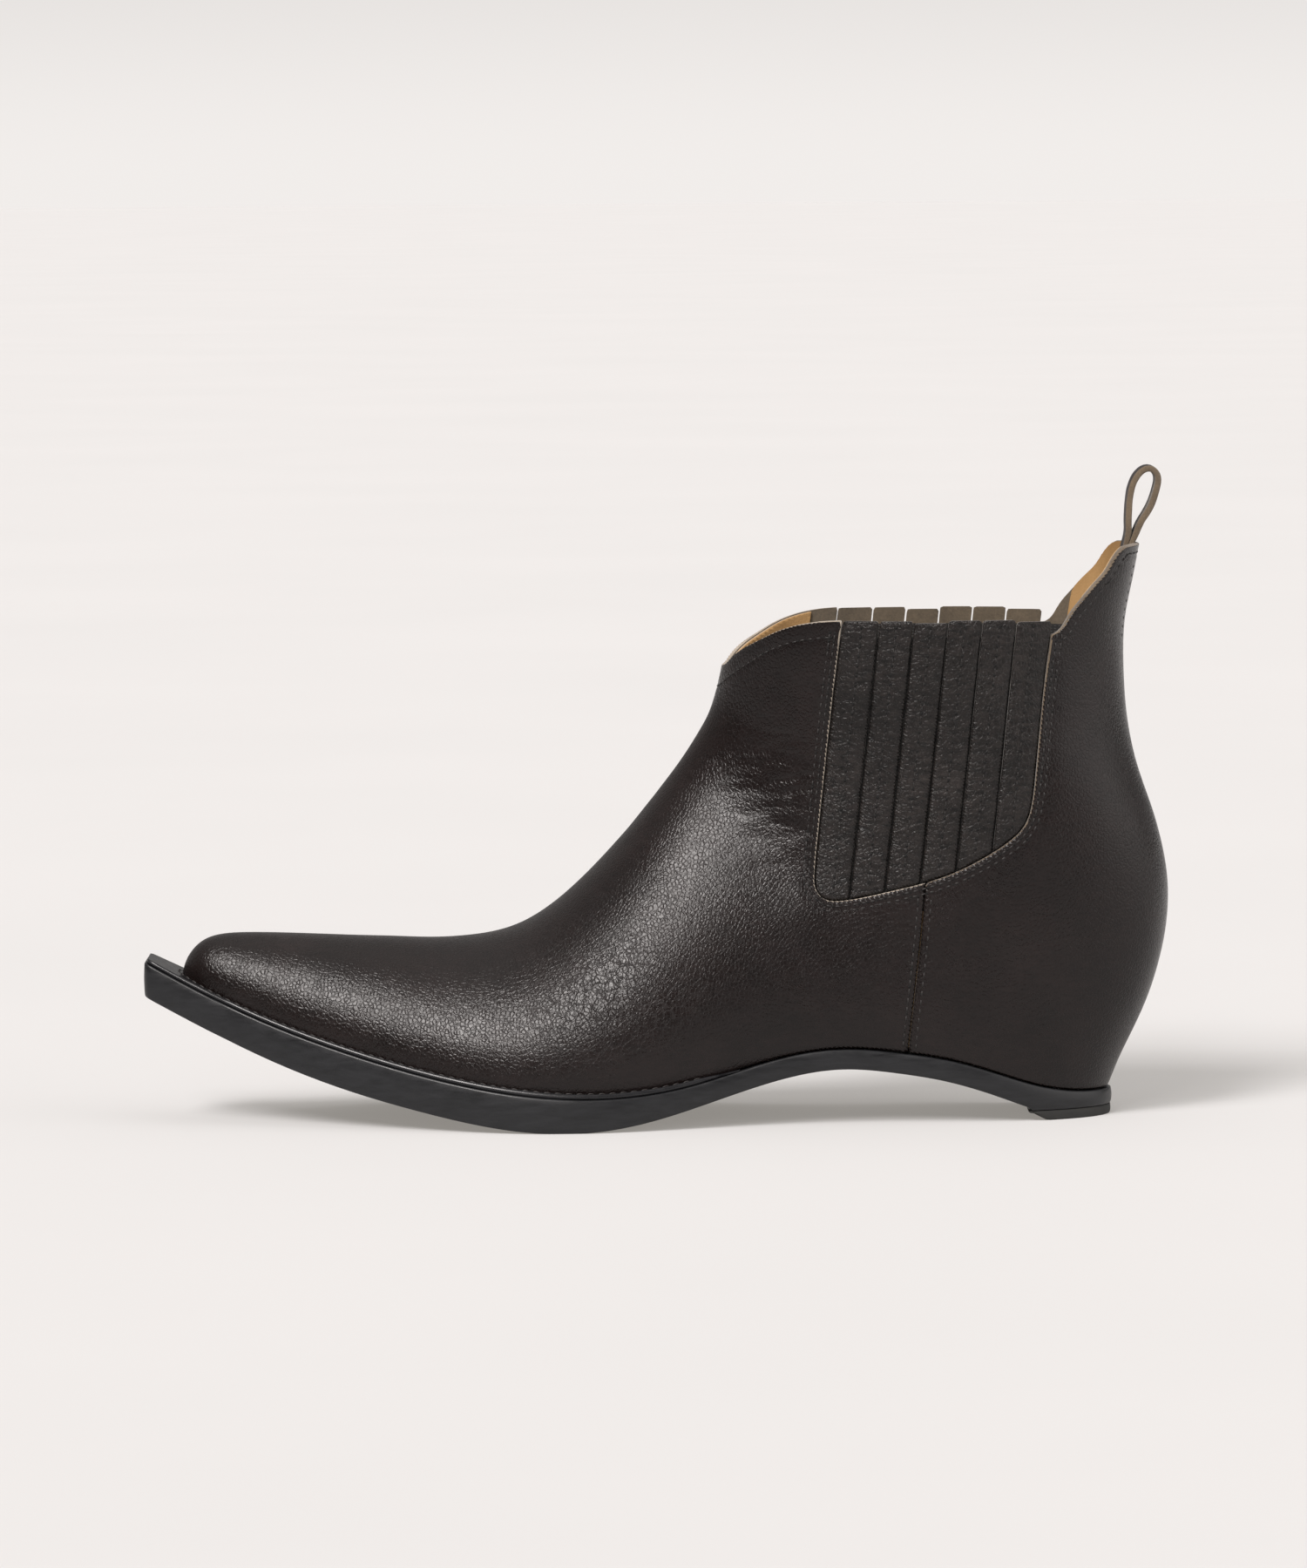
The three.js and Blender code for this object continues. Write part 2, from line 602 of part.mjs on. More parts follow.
function build() {
  const boot = new THREE.Group();
  boot.name = 'cowboy_boot';
  const put = (name, body, finish) => boot.add(named(name, body, finish));

  put('outsole', outsole(), 'rubber');
  put('heel_top_lift', topLift(), 'rubber');
  put('welt', welt(), 'black');

  const upper = drilled(turned(upperShell()), nails, nailRadius + 0.1);
  put('vamp', upper.intersect(prismY(vampOutline(goreWindow, seam))), 'black');
  put('quarter', upper.intersect(prismY(quarterOutline(goreWindow, shifted(seam, -fit)))), 'black');

  const { shell, opening, ahead, behind } = liningPanels();
  const tabNotch = prismY([[5 * kx, backTop - tabTail - fit], [60 * kx, backTop - tabTail - fit],
    [60 * kx, far], [5 * kx, far]], -tabWidth / 2 - fit, tabWidth / 2 + fit);
  put('vamp_lining', shell.intersect(prismY(vampOutline(goreWindow, ahead))).subtract(opening), 'tan');
  put('quarter_lining', shell.intersect(prismY(quarterOutline(goreWindow, behind))).subtract(opening)
    .subtract(tabNotch), 'tan');

  const tapeShape = [...shifted(seam, tapeWidth / 2), ...shifted(seam, -tapeWidth / 2).reverse()];
  const tapeBand = layer(tapeIn).subtract(opening).intersect(prismY(tapeShape));
  const webTop = (150 - elasticDrop) * kz;
  const web = layerOut.subtract(elasticIn).subtract(above(() => webTop));
  for (const [label, side] of [['lateral', lateral], ['medial', medial]]) {
    put(`seam_tape_${label}`, tapeBand.intersect(side(everywhere)), 'tan');
    put(`gore_elastic_${label}`, web.intersect(side(openTopped(goreEdge))), 'web');
    strips(side).forEach((body, i) => put(`gore_strip_${label}_${i + 1}`, body, 'stripBlack'));
  }

  const stiff = layer(stiffIn);
  const puffShape = prismY([[reach.from, low], [reach.from, far], [puffEnd, far], [puffEnd, low]]);
  const counterShape = prismY([[counterStart, low], [counterStart, counterTop], [reach.to, counterTop],
    [reach.to, low]]);
  put('toe_puff', stiff.intersect(puffShape), 'puff');
  put('heel_counter', stiff.intersect(counterShape), 'puff');

  const inShoe = (lower, upperHeight, from = reach.from, to = reach.to) => (
    footSpace.intersect(between(lower, upperHeight, from, to))
  );
  const board = drilled(inShoe(boardLow, boardHigh), rivets, rivetRadius + 0.1);
  put('insole_board', drilled(board, nails, nailRadius + 0.1), 'board');

  const filler = hollowPlan(fit).intersect(
    between(floorOf(0), floorOf(liningDepth + lining), reach.from, -128 * kx),
  );
  put('cork_filler', filler, 'cork');
  const shankBox = between(floorOf(0.5), floorOf(0.5 + shankThickness), -126 * kx, -22 * kx);
  const shankPlan = prismZ([[-126 * kx, -shankWidth / 2], [-22 * kx, -shankWidth / 2],
    [-22 * kx, shankWidth / 2], [-126 * kx, shankWidth / 2]], low, far);
  put('shank', drilled(shankBox.intersect(shankPlan), rivets, rivetRadius + 0.1), 'steel');
  rivets.forEach(([x, y], i) => {
    const body = cylinder(x, y, feather(x) + rivetSink, boardHigh(x) - rivetSink, rivetRadius);
    put(`shank_rivet_${i + 1}`, body, 'steel');
  });

  const wedgeBody = footSpace.intersect(between((x) => boardHigh(x) + fit, (x) => seat(x) - fit,
    wedgeStart, reach.to)).subtract(between((x) => seat(x) - 2 * fit - pad, () => far, padStart, reach.to));
  put('heel_wedge', drilled(wedgeBody, nails, nailRadius + 0.1), 'cork');
  put('heel_pad', inShoe((x) => seat(x) - fit - pad, (x) => seat(x) - fit, padStart + fit), 'foam');
  put('sock_liner', inShoe(seat, (x) => seat(x) + sock), 'tan');
  nails.forEach(([x, y], i) => {
    put(`heel_nail_${i + 1}`, cylinder(x, y, nailSink, boardHigh(x) + nailBite, nailRadius, 10), 'steel');
  });

  put('pull_tab_tail', tabTailPiece(), 'black');
  put('pull_tab_loop', tabLoop(), 'black');
  return boot;
}

export default build();
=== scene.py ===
import json
import math

import bpy
import numpy as np
from mathutils import Matrix, Vector, kdtree
from mathutils.geometry import delaunay_2d_cdt


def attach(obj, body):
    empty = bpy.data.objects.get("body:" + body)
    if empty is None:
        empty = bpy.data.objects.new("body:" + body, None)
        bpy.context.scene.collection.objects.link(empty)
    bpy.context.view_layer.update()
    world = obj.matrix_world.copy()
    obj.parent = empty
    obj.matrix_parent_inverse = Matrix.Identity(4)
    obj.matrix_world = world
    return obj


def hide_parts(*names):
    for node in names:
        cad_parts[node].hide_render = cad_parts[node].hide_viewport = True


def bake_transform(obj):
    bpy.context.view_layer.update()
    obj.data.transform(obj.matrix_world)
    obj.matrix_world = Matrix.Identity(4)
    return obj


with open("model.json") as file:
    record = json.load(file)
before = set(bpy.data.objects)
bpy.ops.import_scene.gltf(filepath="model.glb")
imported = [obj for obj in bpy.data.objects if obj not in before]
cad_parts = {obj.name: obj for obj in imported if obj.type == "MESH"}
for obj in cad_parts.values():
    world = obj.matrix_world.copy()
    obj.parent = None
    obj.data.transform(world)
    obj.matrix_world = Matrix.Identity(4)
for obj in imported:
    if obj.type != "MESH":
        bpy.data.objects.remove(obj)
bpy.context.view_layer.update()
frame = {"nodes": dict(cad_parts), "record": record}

# Lengths below are millimetres in the row frame; meshes are written in metres.
MM = 0.001
LATERAL, MEDIAL = -1.0, 1.0

# ---------------------------------------------------------------- splines


def spline(knots, values, start_slope=None):
    """Natural cubic spline, clamped at its start when a slope is given."""
    x = np.asarray(knots, float)
    y = np.asarray(values, float)
    n, h = len(x), np.diff(x)
    m, r = np.eye(n), np.zeros(n)
    for i in range(1, n - 1):
        m[i, i - 1 : i + 2] = h[i - 1], 2 * (h[i - 1] + h[i]), h[i]
        r[i] = 6 * ((y[i + 1] - y[i]) / h[i] - (y[i] - y[i - 1]) / h[i - 1])
    if start_slope is not None:
        m[0, :2] = 2 * h[0], h[0]
        r[0] = 6 * ((y[1] - y[0]) / h[0] - start_slope)
    bend = np.linalg.solve(m, r)

    def value(at):
        at = np.asarray(at, float)
        i = np.clip(np.searchsorted(x, at) - 1, 0, n - 2)
        a, b, w = x[i + 1] - at, at - x[i], h[i]
        line = (y[i] / w - bend[i] * w / 6) * a + (y[i + 1] / w - bend[i + 1] * w / 6) * b
        return line + (bend[i] * a**3 + bend[i + 1] * b**3) / (6 * w)

    return value


def profile(points):
    return spline(*zip(*points))


def ramp(x, start, end):
    s = np.clip((x - start) / (end - start), 0, 1)
    return s * s * (3 - 2 * s)


# ---------------------------------------------------------------- sole profiles and the last

sole_top = profile([
    (-272, 45.9), (-259.4, 39.5), (-241, 31.4), (-217, 23.1), (-193.5, 16.7), (-172, 12.4),
    (-152, 10.2), (-132, 10.2), (-112, 13.2), (-92, 18.9), (-78, 21.9), (-64.5, 22.6),
    (-50.6, 21.2), (-36.7, 18.9), (-22.8, 14.8), (-9, 10.2), (2, 8.2), (12, 7.8),
])
sole_bottom = profile([
    (-275.5, 37.4), (-259.5, 29.3), (-241.4, 21.0), (-217.3, 12.2), (-193.4, 5.9), (-173, 1.8),
    (-156, 0.0), (-142, 0.2), (-124, 3.1), (-104, 8.9), (-84, 14.6), (-68, 16.7), (-52, 15.3),
    (-36.8, 12.5), (-24, 8.5), (-15.5, 5.2),
])
FIT = 0.3
LEATHER, LINING, STIFFENER = 1.4, 0.8, 1.1


def feather(x):
    return sole_top(x) + FIT


# front x, z, back x, z, outer and inner half width, widest at, four handle lengths
STATIONS = np.array([
    (-265.2, 41.6, -265.2, 41.6, 0, 0, 0.5, 0.6, 0.55, 0.55, 0.6),
    (-264.2, 47.4, -263.5, 38.5, 4.6, 4.6, 0.5, 0.6, 0.55, 0.55, 0.6),
    (-260.8, 52.3, -260.3, 34.7, 9.0, 9.2, 0.52, 0.6, 0.55, 0.55, 0.6),
    (-255.5, 55.1, -254.8, 29.5, 12.7, 13.2, 0.54, 0.6, 0.52, 0.55, 0.65),
    (-247, 56.0, -246, 23.0, 16.2, 17.2, 0.55, 0.58, 0.5, 0.55, 0.7),
    (-234, 55.7, -233, 14.0, 21.0, 23.0, 0.56, 0.56, 0.48, 0.55, 0.7),
    (-216, 54.8, -215, 5.0, 27.4, 30.4, 0.57, 0.54, 0.46, 0.55, 0.7),
    (-197, 54.1, -196, -3.0, 34.0, 36.8, 0.58, 0.52, 0.45, 0.55, 0.7),
    (-180, 54.4, -178, -9.0, 39.4, 41.2, 0.59, 0.5, 0.45, 0.55, 0.7),
    (-164, 58.0, -158, -11.0, 43.6, 42.8, 0.6, 0.47, 0.45, 0.55, 0.7),
    (-149, 68.2, -132, -9.0, 44.4, 38.6, 0.6, 0.45, 0.46, 0.55, 0.68),
    (-135, 82.3, -102, -3.0, 40.6, 33.0, 0.57, 0.46, 0.48, 0.55, 0.64),
    (-125.5, 93.9, -70, 2.0, 36.4, 30.2, 0.54, 0.48, 0.5, 0.55, 0.62),
    (-118.5, 102.8, -36, -1.0, 33.6, 30.0, 0.52, 0.5, 0.52, 0.54, 0.62),
    (-113.5, 109.9, -8, -6.0, 32.4, 30.8, 0.52, 0.52, 0.54, 0.54, 0.62),
    (-109.8, 115.8, 8.5, 2.0, 32.2, 31.6, 0.53, 0.54, 0.55, 0.54, 0.62),
    (-107.2, 120.6, 15.5, 16.2, 32.6, 32.2, 0.54, 0.56, 0.56, 0.55, 0.62),
    (-105.4, 125.6, 24.6, 36.0, 33.2, 33.0, 0.54, 0.58, 0.58, 0.56, 0.62),
    (-104.0, 130.8, 30.2, 64.0, 34.2, 34.0, 0.53, 0.6, 0.6, 0.57, 0.62),
    (-102.6, 137.0, 26.2, 90.0, 35.2, 35.2, 0.52, 0.6, 0.6, 0.58, 0.62),
    (-101.0, 144.0, 19.4, 112.0, 36.2, 36.2, 0.51, 0.6, 0.6, 0.58, 0.6),
    (-99.2, 152.0, 17.2, 140.0, 37.2, 37.2, 0.5, 0.6, 0.6, 0.58, 0.6),
    (-97.0, 163.0, 19.8, 159.0, 38.0, 38.0, 0.5, 0.6, 0.6, 0.58, 0.6),
    (-94.5, 178.0, 23.6, 178.0, 38.6, 38.6, 0.5, 0.6, 0.6, 0.58, 0.6),
])
LAST_STATION = len(STATIONS) - 1.0
COLUMNS = [
    spline(range(len(STATIONS)), STATIONS[:, c], 0.0 if c in (0, 2) else None)
    for c in range(STATIONS.shape[1])
]


def quarter_curve(t, leave, arrive):
    r = 1 - t
    u = 3 * r * t * t * (1 - arrive) + t**3
    v = 3 * r * r * t * leave + 3 * r * t * t + t**3
    return u, v


def last(u, q):
    """Point on the upper's outer surface. q is 0 on the front line, 1 at the widest point and 2 on
    the sole or back line; negative on the outer side of the foot."""
    u, q = np.broadcast_arrays(np.asarray(u, float), np.asarray(q, float))
    q = np.where(q > 2, q - 4, q)
    q = np.where(q < -2, q + 4, q)
    fx, fz, bx, bz, outer, inner, widest, kf, ks, ku, kb = [c(u) for c in COLUMNS]
    way = np.abs(q)
    half = np.where(q < 0, -outer, inner)
    u1, v1 = quarter_curve(np.minimum(way, 1), kf, ks)
    u2, v2 = quarter_curve(np.minimum(2 - way, 1), kb, ku)
    front = way <= 1
    s = np.where(front, widest * u1, 1 - (1 - widest) * u2)
    y = half * np.where(front, v1, v2)
    return np.stack([fx + (bx - fx) * s, y, fz + (bz - fz) * s], -1)


def unit(v):
    return v / np.maximum(np.linalg.norm(v, axis=-1, keepdims=True), 1e-12)


def slopes(u, q, step=0.01):
    u, q = np.asarray(u, float), np.asarray(q, float)
    hi, lo = np.minimum(u + step, LAST_STATION), np.maximum(u - step, 0)
    along = (last(hi, q) - last(lo, q)) / (hi - lo)[..., None]
    round_ = (last(u, q + step) - last(u, q - step)) / (2 * step)
    return along, round_


def last_normal(u, q):
    along, round_ = slopes(u, q)
    return unit(np.cross(along, round_))


# ---------------------------------------------------------------- outlines in the side view (x, z)

GORE = np.array([
    (-67.7, 150.3), (-70.7, 127.9), (-74.0, 97.0), (-76.4, 74.5), (-76.0, 70.2), (-73.6, 67.4),
    (-70.0, 66.7), (-62, 67.8), (-52.5, 70.0), (-43.4, 72.1), (-35.5, 74.7), (-27.0, 78.8),
    (-19.0, 83.7), (-13.8, 88.4), (-11.4, 94.5), (-9.7, 110.7), (-7.3, 133.3), (-5.4, 145.4),
    (-4.9, 150.3),
])
SEAM = np.array([(-43.4, 72.1), (-44.8, 55), (-46.9, 37.2), (-48.8, 20), (-52, -25)])
FRONT_TOP = np.array([
    (-300, 134.5), (-106, 134.8), (-102.4, 135.4), (-100.6, 138.0), (-97.6, 140.8),
    (-92.2, 143.9), (-86.4, 147.0), (-80.5, 148.9), (-74, 150.0), (-67.7, 150.3),
])
BACK_TOP = np.array([
    (-4.9, 145.4), (-2.2, 146.7), (0.6, 151.7), (4.8, 156.2), (7.8, 159.6), (11.7, 163.2),
    (13.9, 167.0), (16.2, 169.8), (18.6, 171.0), (60, 171.0),
])
FRONT_STITCH = np.array([
    (-300, 125.6), (-106.5, 126.2), (-105.3, 127.9), (-103.7, 130.0), (-99.6, 133.8),
    (-94.9, 137.1), (-89.7, 140.7), (-84.0, 143.2), (-76.0, 145.0), (-66.0, 145.4),
])


def resample(line, step, closed=False):
    """Points `step` apart along a polyline of any dimension, ends kept."""
    line = np.asarray(line, float)
    if closed:
        line = np.vstack([line, line[:1]])
    run = np.r_[0, np.cumsum(np.linalg.norm(np.diff(line, axis=0), axis=1))]
    count = max(2, int(round(run[-1] / step)) + 1)
    at = np.linspace(0, run[-1], count)
    out = np.stack([np.interp(at, run, line[:, k]) for k in range(line.shape[1])], 1)
    return out[:-1] if closed else out


def rounded(line, times=2):
    """Corner cutting with both ends kept."""
    line = np.asarray(line, float)
    for _ in range(times):
        a, b = line[:-1], line[1:]
        cut = np.stack([0.75 * a + 0.25 * b, 0.25 * a + 0.75 * b], 1).reshape(-1, line.shape[1])
        line = np.vstack([line[:1], cut, line[-1:]])
    return line


def shifted(line, distance):
    """An open line moved sideways, to the right of its direction."""
    along = np.gradient(line, axis=0)
    along /= np.linalg.norm(along, axis=1, keepdims=True)
    return line + distance * np.stack([along[:, 1], -along[:, 0]], 1)


gore = rounded(GORE)
seam = rounded(SEAM)
front_top = rounded(FRONT_TOP[1:])
back_top = rounded(BACK_TOP)
near_seam = int(np.argmin(np.linalg.norm(gore - SEAM[0], axis=1)))

# ---------------------------------------------------------------- places on the last

grid_u, grid_w = np.meshgrid(np.linspace(0.1, 22.9, 150), np.linspace(0.02, 1.98, 60), indexing="ij")
grid_points = {side: last(grid_u, side * grid_w).reshape(-1, 3) for side in (LATERAL, MEDIAL)}


def locate(xz, side):
    """(station, q) of points given in the side view, on one side of the boot."""
    xz = np.asarray(xz, float)
    flat = grid_points[side][:, [0, 2]]
    near = np.argmin(((xz[:, None] - flat[None]) ** 2).sum(-1), axis=1)
    u, w = grid_u.ravel()[near].copy(), grid_w.ravel()[near].copy()
    for _ in range(10):
        miss = xz - last(u, side * w)[:, [0, 2]]
        along, round_ = slopes(u, side * w)
        a, b = along[:, [0, 2]], side * round_[:, [0, 2]]
        det = a[:, 0] * b[:, 1] - a[:, 1] * b[:, 0]
        det = np.where(np.abs(det) < 1e-3, 1e-3, det)
        u += np.clip((miss[:, 0] * b[:, 1] - miss[:, 1] * b[:, 0]) / det, -0.5, 0.5)
        w += np.clip((a[:, 0] * miss[:, 1] - a[:, 1] * miss[:, 0]) / det, -0.1, 0.1)
        u, w = np.clip(u, 0.02, 23), np.clip(w, 0.001, 1.999)
    return np.stack([u, side * w], 1)


def bisect(height, low, high, steps=45):
    """Where height(x) changes from negative at low to positive at high."""
    low, high = np.array(low, float), np.array(high, float)
    for _ in range(steps):
        middle = (low + high) / 2
        up = height(middle) > 0
        high, low = np.where(up, middle, high), np.where(up, low, middle)
    return (low + high) / 2


def over_feather(u, q):
    p = last(u, q)
    return p[..., 2] - feather(p[..., 0])


def feather_q(u, side):
    """|q| of the feather line at each station."""
    return bisect(lambda w: -over_feather(u, side * w), np.zeros_like(u), np.full_like(u, 2.0))


NOSE_U = float(bisect(lambda u: over_feather(u, 0.0), 0.02, 1.0))
HEEL_U = float(bisect(lambda u: over_feather(u, 2.0), 14.0, 16.5))


def top_line(q, outline, start=15.0):
    """Stations at which lines of constant q cross a top edge given in the side view."""
    def height(u):
        p = last(u, q)
        return p[..., 2] - np.interp(p[..., 0], outline[:, 0], outline[:, 1])
    return bisect(height, np.full_like(q, start), np.full_like(q, 23.0))


def feather_run(u0, u1, side):
    t = np.linspace(0, 1, 700)
    u = u0 + (u1 - u0) * (t**2.5 if u0 <= NOSE_U + 1e-6 else 1 - (1 - t) ** 2)
    return np.stack([u, side * feather_q(u, side)], 1)


def seam_points(offset, side):
    """The side seam moved by `offset` towards the toe, from the gore down to the feather line."""
    line = resample(shifted(seam, offset), 0.5)
    line = line[line[:, 1] > feather(line[:, 0])]
    return locate(resample(line, 1.0), side)


# ---------------------------------------------------------------- meshes on the last

Q_WIDTH = 42.0
run_u = np.linspace(0, LAST_STATION, 400)
run_q = np.linspace(-1.7, 1.7, 18)
step_lengths = np.mean([
    np.linalg.norm(np.diff(last(run_u, np.full_like(run_u, q)), axis=0), axis=1) for q in run_q
], axis=0)
run_a = np.r_[0, np.cumsum(step_lengths)]


def to_flat(uq):
    return np.stack([np.interp(uq[:, 0], run_u, run_a), Q_WIDTH * uq[:, 1]], 1)


def from_flat(ab):
    return np.stack([np.interp(ab[:, 0], run_a, run_u), ab[:, 1] / Q_WIDTH], 1)


def inside(points, loop):
    """Even-odd test of points against a closed polygon."""
    x, y = points[:, 0, None], points[:, 1, None]
    a, b = loop, np.roll(loop, -1, axis=0)
    crosses = (a[:, 1] > y) != (b[:, 1] > y)
    rise = np.where(np.abs(b[:, 1] - a[:, 1]) < 1e-12, 1e-12, b[:, 1] - a[:, 1])
    meets = x < a[:, 0] + (y - a[:, 1]) * (b[:, 0] - a[:, 0]) / rise
    return (np.sum(crosses & meets, axis=1) % 2).astype(bool)


def signed_area(loop):
    ahead = np.roll(loop, -1, axis=0)
    return np.sum(loop[:, 0] * ahead[:, 1] - ahead[:, 0] * loop[:, 1]) / 2


def nearest(points, targets):
    """Distance from each point to the nearest target. Plan points count as lying at height 0."""
    flat = points.shape[1] == 2
    targets = np.c_[targets, np.zeros(len(targets))] if flat else targets
    points = np.c_[points, np.zeros(len(points))] if flat else points
    tree = kdtree.KDTree(len(targets))
    for i, t in enumerate(targets):
        tree.insert(t, i)
    tree.balance()
    return np.array([tree.find(p)[2] for p in points])


ROWS = (0.12, 0.3, 0.55, 0.95, 1.5)      # rows of points that follow a panel's rim
FINE_STEP = 0.62                         # point spacing where the leather is creased


def in_zone(flat, zones):
    uq = from_flat(flat)
    at = last(uq[:, 0], uq[:, 1])
    return np.max([spot(at, *zone) for zone in zones], axis=0)


def triangulated(loop_flat, inner_flat):
    n = len(loop_flat)
    edges = [(i, (i + 1) % n) for i in range(n)]
    coords = [tuple(map(float, p)) for p in np.vstack([loop_flat, inner_flat])]
    points, _, faces, originals, _, _ = delaunay_2d_cdt(coords, edges, [], 1, 1e-6)
    where = {}
    for new, old in enumerate(originals):
        for o in old:
            where[o] = new
    boundary = [where[i] for i in range(n)]
    return np.array([tuple(p) for p in points]), [tuple(f) for f in faces], boundary


def hexagons(low, high, step):
    xs = np.arange(low[0], high[0] + step, step)
    ys = np.arange(low[1], high[1] + step, step * 0.866)
    gx, gy = np.meshgrid(xs, ys)
    gx[1::2] += step / 2
    return np.stack([gx.ravel(), gy.ravel()], 1)


class Panel:
    """A patch of the last inside a closed loop of (station, q) points."""

    def __init__(self, loop, step, zones=()):
        edge = self.even_edge(np.asarray(loop, float), step)
        flat = to_flat(edge)
        if signed_area(flat) < 0:
            edge, flat = edge[::-1], flat[::-1]
        rim = last(edge[:, 0], edge[:, 1])
        dense_rim = resample(rim, 0.25, closed=True)
        rows = to_flat(self.rows_inside(edge, flat, rim))
        wanted = np.repeat(ROWS, len(edge))[inside(rows, flat)]
        rows = rows[inside(rows, flat)]
        rows = rows[self.gap_of(rows, dense_rim) > wanted * 0.82]
        fill = self.filled(flat, step, zones)
        fill = fill[self.gap_of(fill, dense_rim) > ROWS[-1] + 0.55 * step]
        points, faces, boundary = triangulated(flat, np.vstack([rows, fill]))
        self.uq = from_flat(points)
        self.at = last(self.uq[:, 0], self.uq[:, 1])
        self.normal = last_normal(self.uq[:, 0], self.uq[:, 1])
        self.edge_gap = nearest(self.at, dense_rim)
        self.edge_gap[boundary] = 0
        tri = np.array(faces)
        a, b, c = (self.at[tri[:, k]] for k in range(3))
        facing = np.sum(np.cross(b - a, c - a) * self.normal[tri[:, 0]])
        self.faces = tri if facing > 0 else tri[:, ::-1]
        self.boundary = boundary if facing > 0 else boundary[::-1]

    @staticmethod
    def even_edge(loop, step):
        """Points about `step` millimetres apart round the loop."""
        dense = np.vstack([loop, loop[:1]])
        space = last(dense[:, 0], dense[:, 1])
        run = np.r_[0, np.cumsum(np.linalg.norm(np.diff(space, axis=0), axis=1))]
        keep = np.r_[True, np.diff(run) > 1e-6]
        dense, run = dense[keep], run[keep]
        at = np.linspace(0, run[-1], int(run[-1] / step), endpoint=False)
        return np.stack([np.interp(at, run, dense[:, k]) for k in (0, 1)], 1)

    @staticmethod
    def rows_inside(edge, flat, rim):
        """Rows of (station, q) points that follow the rim at the distances in ROWS."""
        along, round_ = slopes(edge[:, 0], edge[:, 1])
        normal = last_normal(edge[:, 0], edge[:, 1])
        tangent = unit(np.roll(rim, -1, axis=0) - np.roll(rim, 1, axis=0))
        inward = unit(np.cross(normal, tangent))
        back = np.linalg.pinv(np.stack([along, round_], -1))
        ahead = np.roll(flat, -1, axis=0) - np.roll(flat, 1, axis=0)
        probe = from_flat(flat + 1e-3 * np.stack([-ahead[:, 1], ahead[:, 0]], 1))
        into = last(probe[:, 0], probe[:, 1]) - rim
        flip = np.sign(np.sum(into * inward, axis=1))
        inward *= np.where(flip == 0, 1, flip)[:, None]
        return np.vstack([edge + np.einsum("nij,nj->ni", back, inward * d) for d in ROWS])

    @staticmethod
    def filled(flat, step, zones):
        """An even fill, with a finer one in the creased zones."""
        fill = hexagons(flat.min(0), flat.max(0), step)
        fill = fill[inside(fill, flat)]
        if zones:
            close = hexagons(flat.min(0), flat.max(0), FINE_STEP)
            close = close[in_zone(close, zones) > 0.02]
            fill = np.vstack([fill[in_zone(fill, zones) <= 0.02], close[inside(close, flat)]])
        return fill

    @staticmethod
    def gap_of(flat, rim):
        uq = from_flat(flat)
        return nearest(last(uq[:, 0], uq[:, 1]), rim)


def rounded_edge(gap, radius):
    """Depth that rounds off a rim of this radius, from the distance to the rim."""
    d = np.clip(radius - gap, 0, radius)
    return radius - np.sqrt(np.maximum(radius**2 - d**2, 0))


def forward(ring, faces):
    """Whether a rim runs the way its triangles do."""
    used = {(int(f[i]), int(f[(i + 1) % 3])) for f in faces for i in range(3)}
    return (int(ring[0]), int(ring[1])) in used


def closed_mesh(name, outer, inner, faces, boundary, materials):
    """Outer and inner skins over one triangulation, joined round the rim. Materials are the outer
    face, the rim and the inner face."""
    n = len(outer)
    ring = np.asarray(boundary)
    a, b = ring, np.roll(ring, -1)
    if not forward(ring, faces):
        a, b = b, a
    rim = np.stack([b, a, a + n, b + n], 1)
    index = np.repeat([0, 1, 2], [len(faces), len(rim), len(faces)])
    return made(name, np.vstack([outer, inner]), [*faces, *rim, *(faces[:, ::-1] + n)], materials,
                index)


def made(name, verts, faces, materials, index, body="boot"):
    """A smooth mesh object from millimetre points, riding a body."""
    mesh = bpy.data.meshes.new(name)
    mesh.from_pydata((np.array(verts) * MM).tolist(), [], [tuple(map(int, f)) for f in faces])
    for m in materials:
        mesh.materials.append(m)
    if index is not None:
        mesh.polygons.foreach_set("material_index", np.asarray(index, np.int32))
    mesh.polygons.foreach_set("use_smooth", np.full(len(mesh.polygons), True))
    mesh.update()
    mesh.validate()
    piece = bpy.data.objects.new(name, mesh)
    bpy.context.scene.collection.objects.link(piece)
    if body:
        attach(piece, body)
    return piece


# ---------------------------------------------------------------- relief


def noise(p, size, seed=0):
    """Smooth value noise from -1 to 1 with features about `size` across."""
    x = np.asarray(p, float) / size + seed * 17.31
    cell = np.floor(x).astype(np.int64)
    f = x - cell
    f = f * f * (3 - 2 * f)

    def hashed(dx, dy, dz):
        x, y, z = (cell[..., k] + d for k, d in enumerate((dx, dy, dz)))
        n = x * 73856093 ^ y * 19349663 ^ z * 83492791
        n = (n ^ (n >> 13)) * 1274126177 & 0x7FFFFFFF
        n = (n ^ (n >> 15)) * 461845907 & 0x7FFFFFFF
        return n / 0x3FFFFFFF - 1.0

    out = 0
    for dx in (0, 1):
        for dy in (0, 1):
            for dz in (0, 1):
                w = (f[..., 0] if dx else 1 - f[..., 0]) * (f[..., 1] if dy else 1 - f[..., 1])
                out = out + w * (f[..., 2] if dz else 1 - f[..., 2]) * hashed(dx, dy, dz)
    return out


def spot(p, centre, size):
    """1 at the centre of an ellipsoid in x and z, fading to 0 at its edge."""
    r = np.hypot((p[:, 0] - centre[0]) / size[0], (p[:, 2] - centre[1]) / size[1])
    return 1 - ramp(r, 0.35, 1.0)


